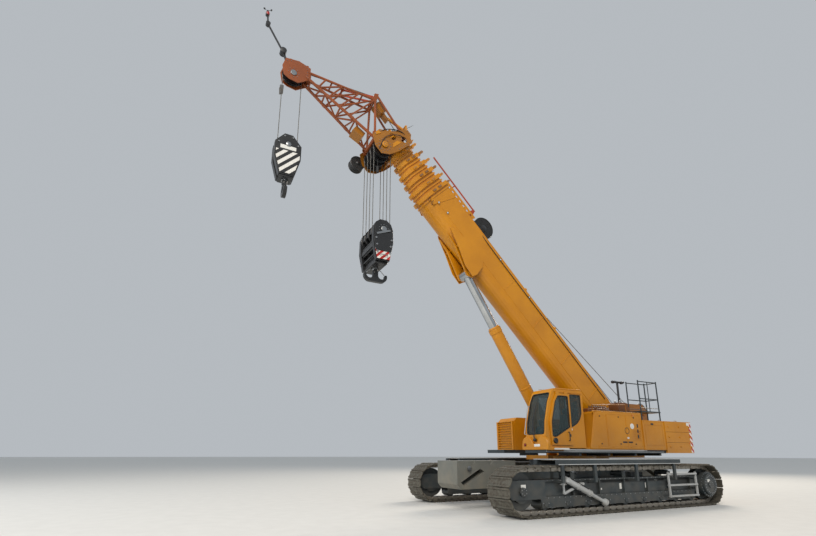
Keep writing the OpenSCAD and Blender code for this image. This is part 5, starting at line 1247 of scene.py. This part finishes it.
def on_boom(s0, s1, y0, y1, v0, v1, bevel=0.004):
    """A block from s0 to s1 along the boom, y0 to y1 across and v0 to v1 square to it."""
    y, v = (y0 + y1) / 2, (v0 + v1) / 2
    return bar(along_boom(s0, y, v), along_boom(s1, y, v), y1 - y0, v1 - v0, BOOM_UP, bevel)


def boom_plate(outline, y, thick, bevel=0.003):
    """An outline of s and v, carried across the boom from y by its thickness."""
    return prism(outline, along_boom(0, y, 0), thick * Y, BOOM_DIR, BOOM_UP, bevel)


def boom_hose(points, radius=0.016):
    """A hose through points given along the boom."""
    return hose([along_boom(*point) for point in points], radius)


beads = both_sides([hose([along_boom(s, y, v) for s in np.linspace(0.2, 10.0, 6)], 0.009, 6, 2)
                    for y, v in ((BASE_W + 0.001, 0.448), (0.346, BASE_TOP + 0.001),
                                 (BASE_W + 0.001, -0.34))])
bands = [boom_plate([(s, 0.44), (s + 0.05, 0.44), (s + 0.05, -0.33), (s, -0.33)], y, 0.016)
         for s in BANDS_S for y in (BASE_W - 0.004, -BASE_W - 0.012)]
bands += [on_boom(s, s + 0.05, -0.34, 0.34, BASE_TOP - 0.004, BASE_TOP + 0.012) for s in BANDS_S]
bands += [boom_plate([(9.55, 0.42), (10.02, 0.42), (10.02, -0.5), (9.8, -0.56)], y, 0.018)
          for y in (BASE_W - 0.004, -BASE_W - 0.014)]
piece("boom_beads_and_bands", beads + bands, golden_enamel, "boom_base")
pipes, clamps = [], []
for k in range(3):
    v = 0.28 - 0.06 * k
    pipes.append(boom_hose([(0.7, -0.435, v), (4.0, -0.436, v), (9.0, -0.435, v), (9.6, -0.45, v + 0.02)],
                           0.014))
    pipes.append(boom_hose([(0.72, -0.435, v), (0.56, -0.445, v + 0.01), (0.42, -0.40, v + 0.02)], 0.017))
clamps += [on_boom(s, s + 0.04, -0.46, -0.405, 0.12, 0.31) for s in np.linspace(0.9, 9.3, 9)]
clamps += [on_boom(s, s + 0.05, 0.405, 0.43, 0.30, 0.36) for s in (1.5, 3.5, 5.5)]
pipes.append(boom_hose([(0.4, 0.425, 0.33), (4.0, 0.426, 0.33), (7.6, 0.425, 0.33), (8.0, 0.30, 0.56),
                        (8.1, 0.14, 0.9)], 0.013))
piece("boom_pipes", pipes, black_rubber, "boom_base")
piece("boom_pipe_clamps", clamps, machined_steel, "boom_base")

# %% [markdown]
# Each section ends in a collar with slide pads that keep the next one centred. On top of every collar
# stands a bracket with a roller, and the hoist ropes run over the rollers. A row of bolts holds each pad,
# and it is these rows that make a telescopic boom's neck look so busy.

# %% Collars: pads, bolts and rope rollers
ROPE_V = 0.62
LANES = (-0.20, -0.28)
LANE_CHEEKS = (-0.335, -0.155)
NECK_S, COLLAR_STEP = 10.22, 0.33
SHRINK_W, SHRINK_TOP, SHRINK_BOT, COLLAR_OUT = 0.038, 0.044, 0.054, 0.066
COLLARS_S = [NECK_S + COLLAR_STEP * k for k in range(6)]
SECTION_BODIES = ["boom_base"] + [f"tele_{k}" for k in range(1, 6)]
for k, (s, body) in enumerate(zip(COLLARS_S, SECTION_BODIES)):
    half = BASE_W - SHRINK_W * k + COLLAR_OUT
    top, low = BASE_TOP - SHRINK_TOP * k + COLLAR_OUT, BASE_BOT - SHRINK_BOT * k + COLLAR_OUT
    pads = both_sides([on_boom(s - 0.10, s - 0.02, half - 0.004, half + 0.022, v, v + 0.16)
                       for v in (0.02, -0.26)])
    pads += [on_boom(s - 0.105, s - 0.015, y, y + 0.13, top - 0.004, top + 0.05) for y in (-0.05, 0.12)]
    pads += [on_boom(s - 0.10, s - 0.02, -0.07, 0.07, -low - 0.02, -low + 0.05)]
    cheek = [(s - 0.12, top - 0.03), (s, top - 0.03), (s - 0.03, ROPE_V + 0.05), (s - 0.09, ROPE_V + 0.05)]
    pads += [boom_plate(cheek, y, 0.014) for y in LANE_CHEEKS]
    pads += [boom_plate([(s - 0.11, top - 0.02), (s - 0.02, top - 0.02), (s - 0.02, top + 0.2),
                         (s - 0.07, top + 0.24), (s - 0.11, top + 0.18)], y, 0.016) for y in (0.10, 0.28)]
    piece(f"collar_pads_{k}", pads, golden_enamel if k % 2 else ochre_enamel, body)
    steel = [spin(along_boom(s - 0.06, -0.335, ROPE_V - 0.045), Y, [(-0.012, 0.016), (0, 0.032),
                                                                    (0.18, 0.032), (0.206, 0.016)], 16)]
    steel += [rod(along_boom(s - 0.065, 0.09, top + 0.15), Y, 0.02, 0.21, 12)]
    for y, out in ((half + 0.022, Y), (-half - 0.022, -Y)):
        for v in (0.02, -0.26):
            steel += [disc(along_boom(s - 0.06, y, v + dv), out, 0.014, 0.012) for dv in (0.03, 0.08, 0.13)]
    piece(f"collar_rollers_and_bolts_{k}", steel, machined_steel, body)
hooks = [boom_hose([(s, 0.46, -0.5), (s, 0.52, -0.56), (s - 0.02, 0.54, -0.66), (s - 0.06, 0.52, -0.7),
                    (s - 0.1, 0.5, -0.66)], 0.01) for s in (9.9, 10.05)]
hooks += [boom_hose([(9.2, -0.15, 0.52), (9.2, -0.15, 0.66), (9.2, -0.3, 0.66), (9.2, -0.3, 0.52)], 0.012)]
piece("boom_hooks", hooks, black_rubber, "boom_base")
print("collars:", len(COLLARS_S))

# %% [markdown]
# ## Hoist ropes
# A rope leaves each winch, climbs to a tall roller stand on the boom and runs along its top. Near its drum a
# short piece of it is made on its own and named with the two bodies at its ends. Where it crosses from one
# section to the next it is a piece of its own, named with those two, and it stays where it is made.

# %% Ropes along the boom
def straight_rope(a, b):
    """A thin round bar from a to b with stations on the way."""
    return tube(np.linspace(a, b, 9), ROPE_R, 8)


# The rope is split at this share of its way from the drum to the stand.
BENDS_WITHIN = 0.27
STAND_S, STAND_V = 6.0, 0.90
for word, y, winch in zip(("main", "jib"), LANES, ("winch_front_turn", "winch_rear_turn")):
    leave, meet = joint_at(winch) + [-0.18, y, 0.20], along_boom(STAND_S, y, STAND_V)
    near = leave + BENDS_WITHIN * (meet - leave)
    piece(f"{word}_rope_to_boom", [straight_rope(leave, near)], steel_rope_boom,
          ("superstructure", "boom_base", tuple(leave), tuple(near)))
    on_base = [straight_rope(near, meet), straight_rope(meet, along_boom(COLLARS_S[0], y, ROPE_V))]
    piece(f"{word}_rope_on_base", on_base, steel_rope_boom, "boom_base")
    for k in range(1, 6):
        a, b = (along_boom(COLLARS_S[k + step], y, ROPE_V) for step in (-1, 0))
        piece(f"{word}_rope_to_section_{k}", [straight_rope(a, b)], steel_rope_boom,
              (SECTION_BODIES[k - 1], SECTION_BODIES[k], tuple(a), tuple(b)))
FALLS_GAP, FALLS_OUT = 0.27, 0.29
for word, top, low, ys in (("main", HEAD, MAIN, FALLS_GAP * (np.arange(4) - 1.5)), ("jib", TIP, FLY, [0.0])):
    falls = [straight_rope(top + [x, y, 0], low + [x, y, 0]) for y in ys for x in (-FALLS_OUT, FALLS_OUT)]
    drawn_between = (f"{word}_rope", f"{word}_block", tuple(top), tuple(low))
    piece(f"{word}_rope_falls", falls, steel_rope_up, drawn_between, replaces=[f"{word}_falls"])
neck = COLLARS_S[5]
ends = [tube(smooth_path([along_boom(neck, LANES[0], ROPE_V), along_boom(12.2, -0.18, 0.55),
                          along_boom(12.42, -0.15, 0.2), along_boom(12.5, -0.135, -0.3),
                          HEAD + [0.302, -0.135, 0.0]], 5), ROPE_R, 8)]
over_jib = [np.linspace(along_boom(neck, LANES[1], ROPE_V), along_boom(13.85, -0.02, 0.62), 9),
            np.linspace(along_boom(13.95, 0, 0.6), TIP + [0.12, 0, 0.29], 9)]
ends.append(tube(np.vstack(over_jib), ROPE_R, 8))
piece("ropes_to_head_and_jib", ends, steel_rope_boom, "tele_5")
entry = [boom_plate([(STAND_S - 0.16, BASE_TOP - 0.02), (STAND_S + 0.16, BASE_TOP - 0.02),
                     (STAND_S + 0.05, STAND_V + 0.04), (STAND_S - 0.05, STAND_V + 0.04)], y, 0.014)
         for y in (-0.34, -0.155)]
entry.append(rod(along_boom(STAND_S, -0.34, STAND_V - 0.045), Y, 0.032, 0.2, 16))
for s in (7.4, 9.2):
    rope_v = np.interp(s, [STAND_S, COLLARS_S[0]], [STAND_V, ROPE_V])
    entry += [boom_plate([(s - 0.08, BASE_TOP - 0.02), (s + 0.08, BASE_TOP - 0.02), (s + 0.03, rope_v + 0.03),
                          (s - 0.03, rope_v + 0.03)], y, 0.012) for y in LANE_CHEEKS]
    entry.append(rod(along_boom(s, -0.335, rope_v - 0.045), Y, 0.03, 0.19, 16))
entry += [on_boom(s, s + 0.1, 0.24, 0.34, BASE_TOP - 0.01, BASE_TOP + 0.1, 0.02) for s in (3.6, 5.4)]
piece("rope_roller_brackets", entry, golden_enamel, "boom_base")

# %% [markdown]
# ## Lifting cylinder
# A hydraulic cylinder shows its gland: a collar with a ring of bolts and a bright wiper lip. Steel pipes run
# up the barrel in clamps, and the eyes at both ends have round caps with keeper plates.

# %% Gland, pipes and eye caps
EYE = joint_at("rod_swing")
FOOT = from_axis(0.25, 0, 1.775)
stroke = unit(EYE - FOOT)
beside = np.cross(stroke, Y)
BARREL_LENGTH = 4.74
gland = FOOT + BARREL_LENGTH * stroke
barrel_bits = [spin(gland, stroke, [(-0.2, 0.205), (-0.19, 0.222), (-0.05, 0.222), (-0.04, 0.205)], 48),
               spin(gland, stroke, [(-0.01, 0.2), (0.0, 0.2), (0.03, 0.175), (0.032, 0.153)], 48)]
barrel_bits += [spin(FOOT + d * stroke, stroke, [(-0.03, 0.205), (-0.02, 0.217), (0.02, 0.217),
                                                 (0.03, 0.205)], 48) for d in (0.5, 2.4)]
piece("cylinder_collars", barrel_bits, golden_enamel, "lift_barrel")
barrel_steel = bolt_circle(gland - 0.04 * stroke, stroke, 0.21, 16, 0.013, 0.012)
barrel_steel += [tube([FOOT + 0.5 * stroke + off, FOOT + 2.4 * stroke + off, FOOT + 4.4 * stroke + off,
                       FOOT + 4.6 * stroke + off * 0.9], 0.016, 8) for off in (0.235 * beside + 0.03 * Y,
                                                                              0.235 * beside - 0.03 * Y)]
barrel_steel += [bar(FOOT + d * stroke + 0.2 * beside - 0.06 * Y, FOOT + d * stroke + 0.2 * beside + 0.06 * Y,
                     0.05, 0.09, beside) for d in (0.9, 1.9, 2.9, 3.9)]
barrel_steel += both_sides([cap(FOOT + 0.318 * Y, Y, (0.075, 0.06), (0.02, 0.03), 24)])
piece("cylinder_pipes_and_bolts", barrel_steel, machined_steel, "lift_barrel")
eye_caps = both_sides([cap(EYE + 0.286 * Y, Y, (0.12, 0.1), (0.02, 0.035), 32)])
eye_caps += both_sides(bolt_circle(EYE + 0.318 * Y, Y, 0.07, 6, 0.014, 0.012))
piece("rod_pin_caps", eye_caps, golden_enamel, "boom_base")

# %% [markdown]
# ## Boom head and jib
# The head is two cheeks full of bolts and pins round its sheaves. The folding jib is a small lattice of
# round tubes, held up by a frame and two flat ties. Boxes, rollers, lamps and an electric cable reel fill
# the gaps between them.

# %% Pins, plates and boxes at the head
CHEEK_Y = 0.6
head_bits = both_sides([cap(HEAD + (CHEEK_Y + 0.02) * Y, Y, (0.1, 0.08), (0.02, 0.03), 32)])
head_bits += both_sides([boom_plate([(12.0, -0.62), (12.12, -0.5), (12.12, -0.3), (12.0, -0.2)], CHEEK_Y,
                                    0.012), boom_plate([(12.62, -0.85), (12.70, -0.8), (12.70, -0.68),
                                                        (12.58, -0.66)], CHEEK_Y, 0.02),
                         on_boom(12.3, 12.34, -0.02, 0.56, -0.42, -0.2)])
head_bits += [on_boom(12.26, 12.58, -0.56, 0.56, -0.24, -0.2), on_boom(12.38, 12.62, -0.2, 0.2, -0.42, -0.24,
                                                                       0.02), on_boom(11.92, 12.3, -0.1, 0.1,
                                                                                      0.30, 0.40, 0.02)]
head_bits += both_sides([on_boom(12.1, 12.24, 0.24, 0.36, 0.25, 0.52, 0.01),
                         bar(along_boom(12.15, 0.3, 0.5), along_boom(12.49, 0.2, 0.769), 0.05, 0.05, Y)])
head_bits += [bar(along_boom(12.49, -0.24, 0.769), along_boom(12.49, 0.24, 0.769), 0.06, 0.06, BOOM_UP),
              bar(along_boom(12.49, 0, 0.769), along_boom(13.09, 0, 0.512), 0.07, 0.07, Y)]
piece("head_plates_and_strut", head_bits, golden_enamel, "tele_5")
head_steel = both_sides(bolt_circle(HEAD + (CHEEK_Y + 0.05) * Y, Y, 0.055, 6, 0.012, 0.012))
head_steel += both_sides(bolt_circle(HEAD + CHEEK_Y * Y, Y, 0.2, 12, 0.016, 0.014))
for a, b, n in (((11.86, -0.45), (11.86, 0.12), 6), ((12.06, 0.30), (12.23, 0.30), 3),
                ((12.66, -0.62), (12.66, -0.84), 3), ((12.06, -1.06), (12.36, -1.06), 4)):
    head_steel += both_sides(bolt_row(along_boom(a[0], CHEEK_Y, a[1]), along_boom(b[0], CHEEK_Y, b[1]), n, Y,
                                      0.016, 0.014))
head_steel += [spin(along_boom(12.56, y, 0.157), Y, [(0, 0.03), (0.0, 0.055), (0.1, 0.045), (0.2, 0.055),
                                                     (0.2, 0.03)], 24) for y in (-0.3, 0.1)]
head_steel += [rod(along_boom(12.56, -0.32, 0.157), Y, 0.02, 0.64, 12)]
head_steel += [tube([along_boom(12.49, 0.0, 0.76), along_boom(12.475, 0.002, 1.0),
                     along_boom(12.46, 0, 1.289)], [0.018, 0.014, 0.006], 8)]
head_steel += both_sides([bar(along_boom(12.3, 0.3, -0.1), along_boom(12.56, 0.3, 0.157), 0.02, 0.06,
                              BOOM_UP)])
piece("head_bolts_and_rollers", head_steel, machined_steel, "tele_5")
dark = [hose([HEAD + [0.1, 0.27, -0.35], HEAD + [0.1, 0.27, -0.5], HEAD + [0.1, 0.272, -0.62]], 0.008),
        spin(HEAD + [0.1, 0.27, -0.85], Z, [(0, 0.03), (0.01, 0.045), (0.22, 0.045), (0.24, 0.02)], 20),
        boom_hose([(11.9, 0.52, 0.2), (12.3, 0.62, 0.05), (12.6, 0.62, -0.4), (12.62, 0.55, -0.75)], 0.014),
        boom_hose([(11.9, 0.50, 0.1), (12.2, 0.64, -0.1), (12.4, 0.63, -0.6), (12.2, 0.62, -1.1)], 0.012),
        boom_hose([(11.9, -0.50, 0.1), (12.2, -0.63, -0.1), (12.45, -0.63, -0.7), (12.5, -0.66, -1.1)],
                  0.014)]
piece("head_cables_and_switch_weight", dark, black_rubber, "tele_5")
brown = [on_boom(13.27, 13.66, -0.17, 0.17, 0.30, 0.56, 0.02),
         on_boom(13.0, 13.3, -0.1, 0.1, 0.36, 0.46, 0.01),
         boom_plate([(12.9, -1.02), (13.25, -1.14), (13.3, -0.9), (12.95, -0.82)], -0.2, 0.4, 0.01)]
piece("jib_boxes", brown, ochre_enamel, "tele_5")
lamps = [work_lamp(along_boom(s, y, v), unit([0.3, 0.8, -0.6]), 0.035) for s, y, v in
         ((9.75, 0.47, -0.35), (9.3, 0.45, -0.30), (6.9, 0.45, 0.34), (5.2, 0.45, 0.36))]
piece("boom_lamp_housings", [lamp[0] for lamp in lamps], dark_abs, "boom_base")
piece("boom_lamp_lenses", [lamp[1] for lamp in lamps], lamp_lens, "boom_base")

# %% Jib: joints, tip and light mast
def along_jib(t, y):
    """A point on the jib's lower chord, t from its foot to its tip, at a sideways place."""
    (s0, v0), (s1, v1) = (12.62, -0.77), (15.286, -1.30)
    return along_boom(s0 + t * (s1 - s0), y, v0 + t * (v1 - v0))


JIB_FOOT_Y, JIB_TIP_Y = 0.36, 0.165
jib_bits = []
for t in (0.0, 0.35, 0.7, 1.0):
    w = JIB_FOOT_Y + t * (JIB_TIP_Y - JIB_FOOT_Y)
    chord = unit(along_jib(1, JIB_TIP_Y) - along_jib(0, JIB_FOOT_Y))
    jib_bits += both_sides([spin(along_jib(t, w), chord, [(-0.06, 0.045), (-0.05, 0.056), (0.05, 0.056),
                                                          (0.06, 0.045)], 16)])
jib_bits += both_sides([boom_plate([(13.62, 0.26), (13.78, 0.24), (13.9, 0.48), (13.82, 0.6), (13.7, 0.42)],
                                   0.27, 0.02), boom_plate([(12.54, -0.86), (12.72, -0.86), (12.82, -0.72),
                                                            (12.66, -0.6), (12.54, -0.68)], 0.42, 0.03)])
JIB_FACE = 0.179
jib_bits += [bar(TIP + [-0.42, -0.17, 0.42], TIP + [-0.42, 0.17, 0.42], 0.07, 0.07),
             bar(TIP + [0.1, -0.17, 0.46], TIP + [0.1, 0.17, 0.46], 0.06, 0.06),
             bar(TIP + [-0.5, -0.17, 0.15], TIP + [-0.5, 0.17, 0.15], 0.09, 0.2)]
piece("jib_sleeves_and_plates", jib_bits, jib_enamel, "tele_5")
jib_steel = both_sides([cap(TIP + JIB_FACE * Y, Y, (0.1, 0.08), (0.02, 0.035), 24)])
jib_steel += both_sides(bolt_circle(TIP + JIB_FACE * Y, Y, 0.16, 8, 0.013, 0.012))
jib_steel += both_sides(bolt_row(TIP + [-0.42, JIB_FACE, 0.3], TIP + [-0.42, JIB_FACE, -0.02], 4, Y, 0.013,
                                 0.012))
jib_steel += both_sides(bolt_row(TIP + [0.1, JIB_FACE, 0.40], TIP + [0.22, JIB_FACE, 0.36], 2, Y, 0.013,
                                 0.012))
jib_steel += [spin(along_boom(13.86, -0.2, 0.52), Y, [(0, 0.03), (0.02, 0.065), (0.18, 0.05), (0.38, 0.065),
                                                      (0.4, 0.03)], 24)]
jib_steel += [rod(TIP + [0.0, -0.16, 0.36], Y, 0.03, 0.32, 16)]
piece("jib_bolts_and_rollers", jib_steel, machined_steel, "tele_5")
socket = TIP + [0.29, 0, -0.6]
wedge = [prism([(-0.05, 0.16), (0.06, 0.14), (0.05, -0.14), (0.0, -0.18), (-0.045, -0.12)],
               socket - 0.035 * Y, 0.07 * Y, X, Z, 0.008), rod(socket + [0.0, -0.05, -0.1], Y, 0.02, 0.1, 12),
         tube([socket + [0.045, 0, 0.13], socket + [0.07, 0.001, 0.0], socket + [0.055, 0, -0.2]], 0.011, 8)]
piece("wedge_socket", wedge, cast_iron, "jib_rope")
knob = TIP + [0.90, 0, 1.98]
mast_bits = [spin(knob + 0.05 * Z, Z, [(0, 0.012), (0.06, 0.012), (0.07, 0.03), (0.09, 0.03), (0.1, 0.012)],
                  12)]
for angle in (0.3, 2.4, 4.5):
    arm = np.array([math.cos(angle), math.sin(angle), 0.0])
    mast_bits += [tube([knob + 0.13 * Z, knob + 0.13 * Z + 0.05 * arm, knob + 0.13 * Z + 0.1 * arm], 0.006,
                       6)]
    around = np.cross(Z, arm)
    mast_bits += [spin(knob + 0.13 * Z + 0.12 * arm, around, [(0.0, 0.034), (0.02, 0.028), (0.032, 0.012),
                                                              (0.034, POINT_R)], 12)]
mast_bits += [cap(TIP + [0.34, y, 0.79], (0, 1 if y > 0 else -1, 0), (0.098, 0.08), (0.02, 0.03), 24)
              for y in (-0.08, 0.08)]
mast_bits += [hose([TIP + [0.18, 0.03, 0.41], TIP + [0.34, 0.05, 0.7], TIP + [0.6, 0.035, 1.2],
                    TIP + [0.84, 0.03, 1.58], knob + [0, 0.03, -0.1]], 0.008, 6)]
piece("mast_cups_and_cable", mast_bits, dark_abs, "tele_5")
beacon = [spin(knob + [0.0, y, 0], (0, math.copysign(1, y), 0), [(0, 0.05), (0.02, 0.045), (0.03, 0.02),
                                                                 (0.032, POINT_R)], 20)
          for y in (-0.05, 0.05)]
piece("mast_lamp_lenses", beacon, red_lens, "tele_5")

# %% [markdown]
# ## Cable reels
# Two reels pay out the electric cables. Each is a wound drum: rings of black cable between two flanges, a
# hub with a cap, and holes round the flange, drawn as raised rims.

# %% Cable windings, rims and hubs
def reel_parts(centre, y0, y1, radius):
    """Rings of cable side by side on a drum, a rim on both flanges and the rims of five holes in each."""
    cable = [ring(centre + y * Y, Y, radius + 0.004, 0.014, 48, 6) for y in np.arange(y0 + 0.02, y1 - 0.01,
                                                                                      0.028)]
    rims = [ring(centre + y * Y, Y, radius + 0.012, 0.014, 48, 8) for y in (y0, y1)]
    for y, out in ((y0, -1), (y1, 1)):
        angle = even_turn(5)
        for a in angle:
            place = centre + [0.62 * radius * math.cos(a), y, 0.62 * radius * math.sin(a)]
            rims.append(ring(place, Y, 0.17 * radius, 0.008, 20, 6))
        rims.append(spin(centre + y * Y, out * Y, [(0, 0.3 * radius), (0.02, 0.3 * radius),
                                                   (0.03, 0.24 * radius), (0.05, 0.12 * radius),
                                                   (0.06, POINT_R)], 24))
    return cable, rims


for name, centre, y0, y1, radius, body in (
        ("boom_reel", along_boom(8.1, 0, 0.9163), -0.11, 0.11, 0.39, "boom_base"),
        ("head_reel", along_boom(12.5, 0, -1.2), -0.84, -0.6003, 0.23, "tele_5")):
    cable, rims = reel_parts(centre, y0, y1, radius)
    piece(f"{name}_cable", cable, black_rubber, body)
    piece(f"{name}_rims", rims, black_enamel, body)

# %% [markdown]
# ## Hook blocks
# A hook block is a stack of thick plates round its sheaves, heavy enough to pull the empty rope down. The
# warning stripes are thin plates a few millimetres proud with a striped finish. Hexagon nuts close the tie
# rods, and each hook has a spring catch across its mouth.

# %% Main block
MAIN_CHEEK = np.array([(-0.11, 0.325), (0.11, 0.325), (0.25, 0.215), (0.32, 0.03), (0.32, -0.42),
                       (0.215, -1.0), (-0.215, -1.0), (-0.32, -0.42), (-0.32, 0.03), (-0.25, 0.215)])
MAIN_Y = 0.597


def block_plate(place, outline, y, thick, bevel=0.006):
    """An outline of x and z from a block's sheave axis, carried across from y by its thickness."""
    return prism(outline, place + y * Y, thick * Y, X, Z, bevel)


main_plates = [block_plate(MAIN, inset(against_clock(MAIN_CHEEK), 0.03), y, 0.03)
               for y in (MAIN_Y - 0.002, -MAIN_Y - 0.028)]
main_plates += [block_plate(MAIN, [(-0.3, -0.1), (0.3, -0.1), (0.31, -0.42), (0.25, -0.72), (-0.25, -0.72),
                                   (-0.31, -0.42)], y, 0.03) for y in (MAIN_Y + 0.026, -MAIN_Y - 0.056)]
main_plates += [block_plate(MAIN, [(-0.29, z), (-0.2, z), (-0.2, z - 0.16), (-0.29, z - 0.16)], -0.45, 0.9)
                for z in (-0.12, -0.62)]
main_plates += [block_plate(MAIN, [(0.2, z), (0.29, z), (0.29, z - 0.14), (0.2, z - 0.14)], -0.45, 0.9)
                for z in (0.06, -0.4)]
main_plates += [block(MAIN + [-0.2, -0.5, -1.06], MAIN + [0.2, 0.5, -0.99], 0.02)]
piece("main_block_plates", main_plates, black_enamel, "main_block")
main_steel = []
for x, z in ((-0.25, -0.34), (0.25, -0.34), (-0.225, -0.55), (0.225, -0.55), (-0.205, -0.76), (0.205, -0.76)):
    main_steel += both_sides([disc(MAIN + [x, MAIN_Y + 0.054, z], Y, 0.034, 0.028)])
main_steel += both_sides([cap(MAIN + (MAIN_Y + 0.026) * Y, Y, (0.09, 0.07), (0.03, 0.04), 24)])
main_steel += both_sides(bolt_circle(MAIN + (MAIN_Y + 0.026) * Y, Y, 0.15, 10, 0.014, 0.012))
main_steel += [bar(MAIN + [0.0, -0.58, 0.29], MAIN + [0.0, 0.58, 0.29], 0.07, 0.05),
               bar(MAIN + [-0.2, MAIN_Y + 0.07, -0.02], MAIN + [0.24, MAIN_Y + 0.07, -0.2], 0.02, 0.06)]
main_steel += both_sides([grab_handle(MAIN + [-0.12, MAIN_Y + 0.02, -0.86], MAIN + [0.12, MAIN_Y + 0.02,
                                                                                    -0.86], Y, 0.07)])
piece("main_block_nuts_and_bar", main_steel, machined_steel, "main_block")
stripe_outline = [(-0.265, -0.66), (0.265, -0.66), (0.205, -0.975), (-0.205, -0.975)]
piece("main_block_stripes", both_sides([block_plate(MAIN, stripe_outline, MAIN_Y + 0.0285, 0.003, 0.001)]),
      block_stripes, "main_block")
piece("main_block_knob", [spin(MAIN + [0.05, 0.2, 0.3], Z, [(0, 0.03), (0.03, 0.03), (0.05, 0.05),
                                                            (0.09, 0.05), (0.11, 0.02)], 16)], unit_enamel,
      "main_block")
hook_top = MAIN - 1.0 * Z
catches = [tube([hook_top + [s * 0.09, 0.0, -0.06], hook_top + [s * 0.2, 0.002, -0.12],
                 hook_top + [s * 0.335, 0, -0.26]], 0.012, 8) for s in (1, -1)]
catches += [spin(hook_top - 0.03 * Z, Z, [(-0.07, 0.095), (0.0, 0.1), (0.02, 0.08)], 32),
            *bolt_circle(hook_top - 0.1 * Z, -Z, 0.085, 6, 0.012, 0.01)]
piece("main_hook_catches", catches, machined_steel, "main_hook")

# %% Jib block
FLY_Y = 0.23
FLY_CHEEK = np.array([(-0.12, 0.35), (0.12, 0.35), (0.385, 0.04), (0.385, -0.43), (0.23, -1.0), (-0.23, -1.0),
                      (-0.385, -0.43), (-0.385, 0.04)])
fly_plates = [block_plate(FLY, inset(against_clock(FLY_CHEEK), 0.035), y, 0.022)
              for y in (FLY_Y - 0.002, -FLY_Y - 0.02)]
fly_plates += [block(FLY + [-0.2, -0.21, -1.05], FLY + [0.2, 0.21, -0.99], 0.02)]
fly_plates += [block_plate(FLY, [(x, -0.2), (x + 0.09, -0.2), (x + 0.09, -0.42), (x, -0.42)], -0.07, 0.14)
               for x in (-0.36, 0.27)]
piece("jib_block_plates", fly_plates, black_enamel, "jib_block")
lower = [(-0.345, -0.22), (0.345, -0.22), (0.345, -0.43), (0.2, -0.955), (-0.2, -0.955), (-0.345, -0.43)]
piece("jib_block_stripes", both_sides([block_plate(FLY, lower, FLY_Y + 0.0205, 0.003, 0.001)]), hook_stripes,
      "jib_block")
piece("jib_block_label", both_sides([plate_on(FLY + [0.0, FLY_Y + 0.02, -0.11], Y, Z, 0.46, 0.12)]),
      white_plate, "jib_block")
fly_steel = []
for x, z in ((-0.28, 0.02), (0.28, 0.02), (-0.12, 0.25), (0.12, 0.25)):
    fly_steel += both_sides([disc(FLY + [x, FLY_Y + 0.02, z], Y, 0.028, 0.022)])
fly_steel += both_sides([cap(FLY + (FLY_Y + 0.02) * Y, Y, (0.075, 0.06), (0.025, 0.035), 24)])
piece("jib_block_nuts", fly_steel, machined_steel, "jib_block")
fly_hook = FLY - 1.0 * Z
catch = [tube([fly_hook + [0.0, 0.06, -0.28], fly_hook + [0.001, 0.14, -0.3], fly_hook + [0, 0.2, -0.36]],
              0.012, 8), spin(fly_hook - 0.03 * Z, Z, [(-0.07, 0.095), (0.0, 0.1), (0.02, 0.08)], 32)]
piece("jib_hook_catch", catch, machined_steel, "jib_hook")
print("pieces so far:", len(PIECES))

# %% [markdown]
# ## Last count
# The pieces added and their faces are counted and printed.

# %% Counts and the end
print("pieces added:", len(PIECES), "faces:", sum(PIECES.values()))
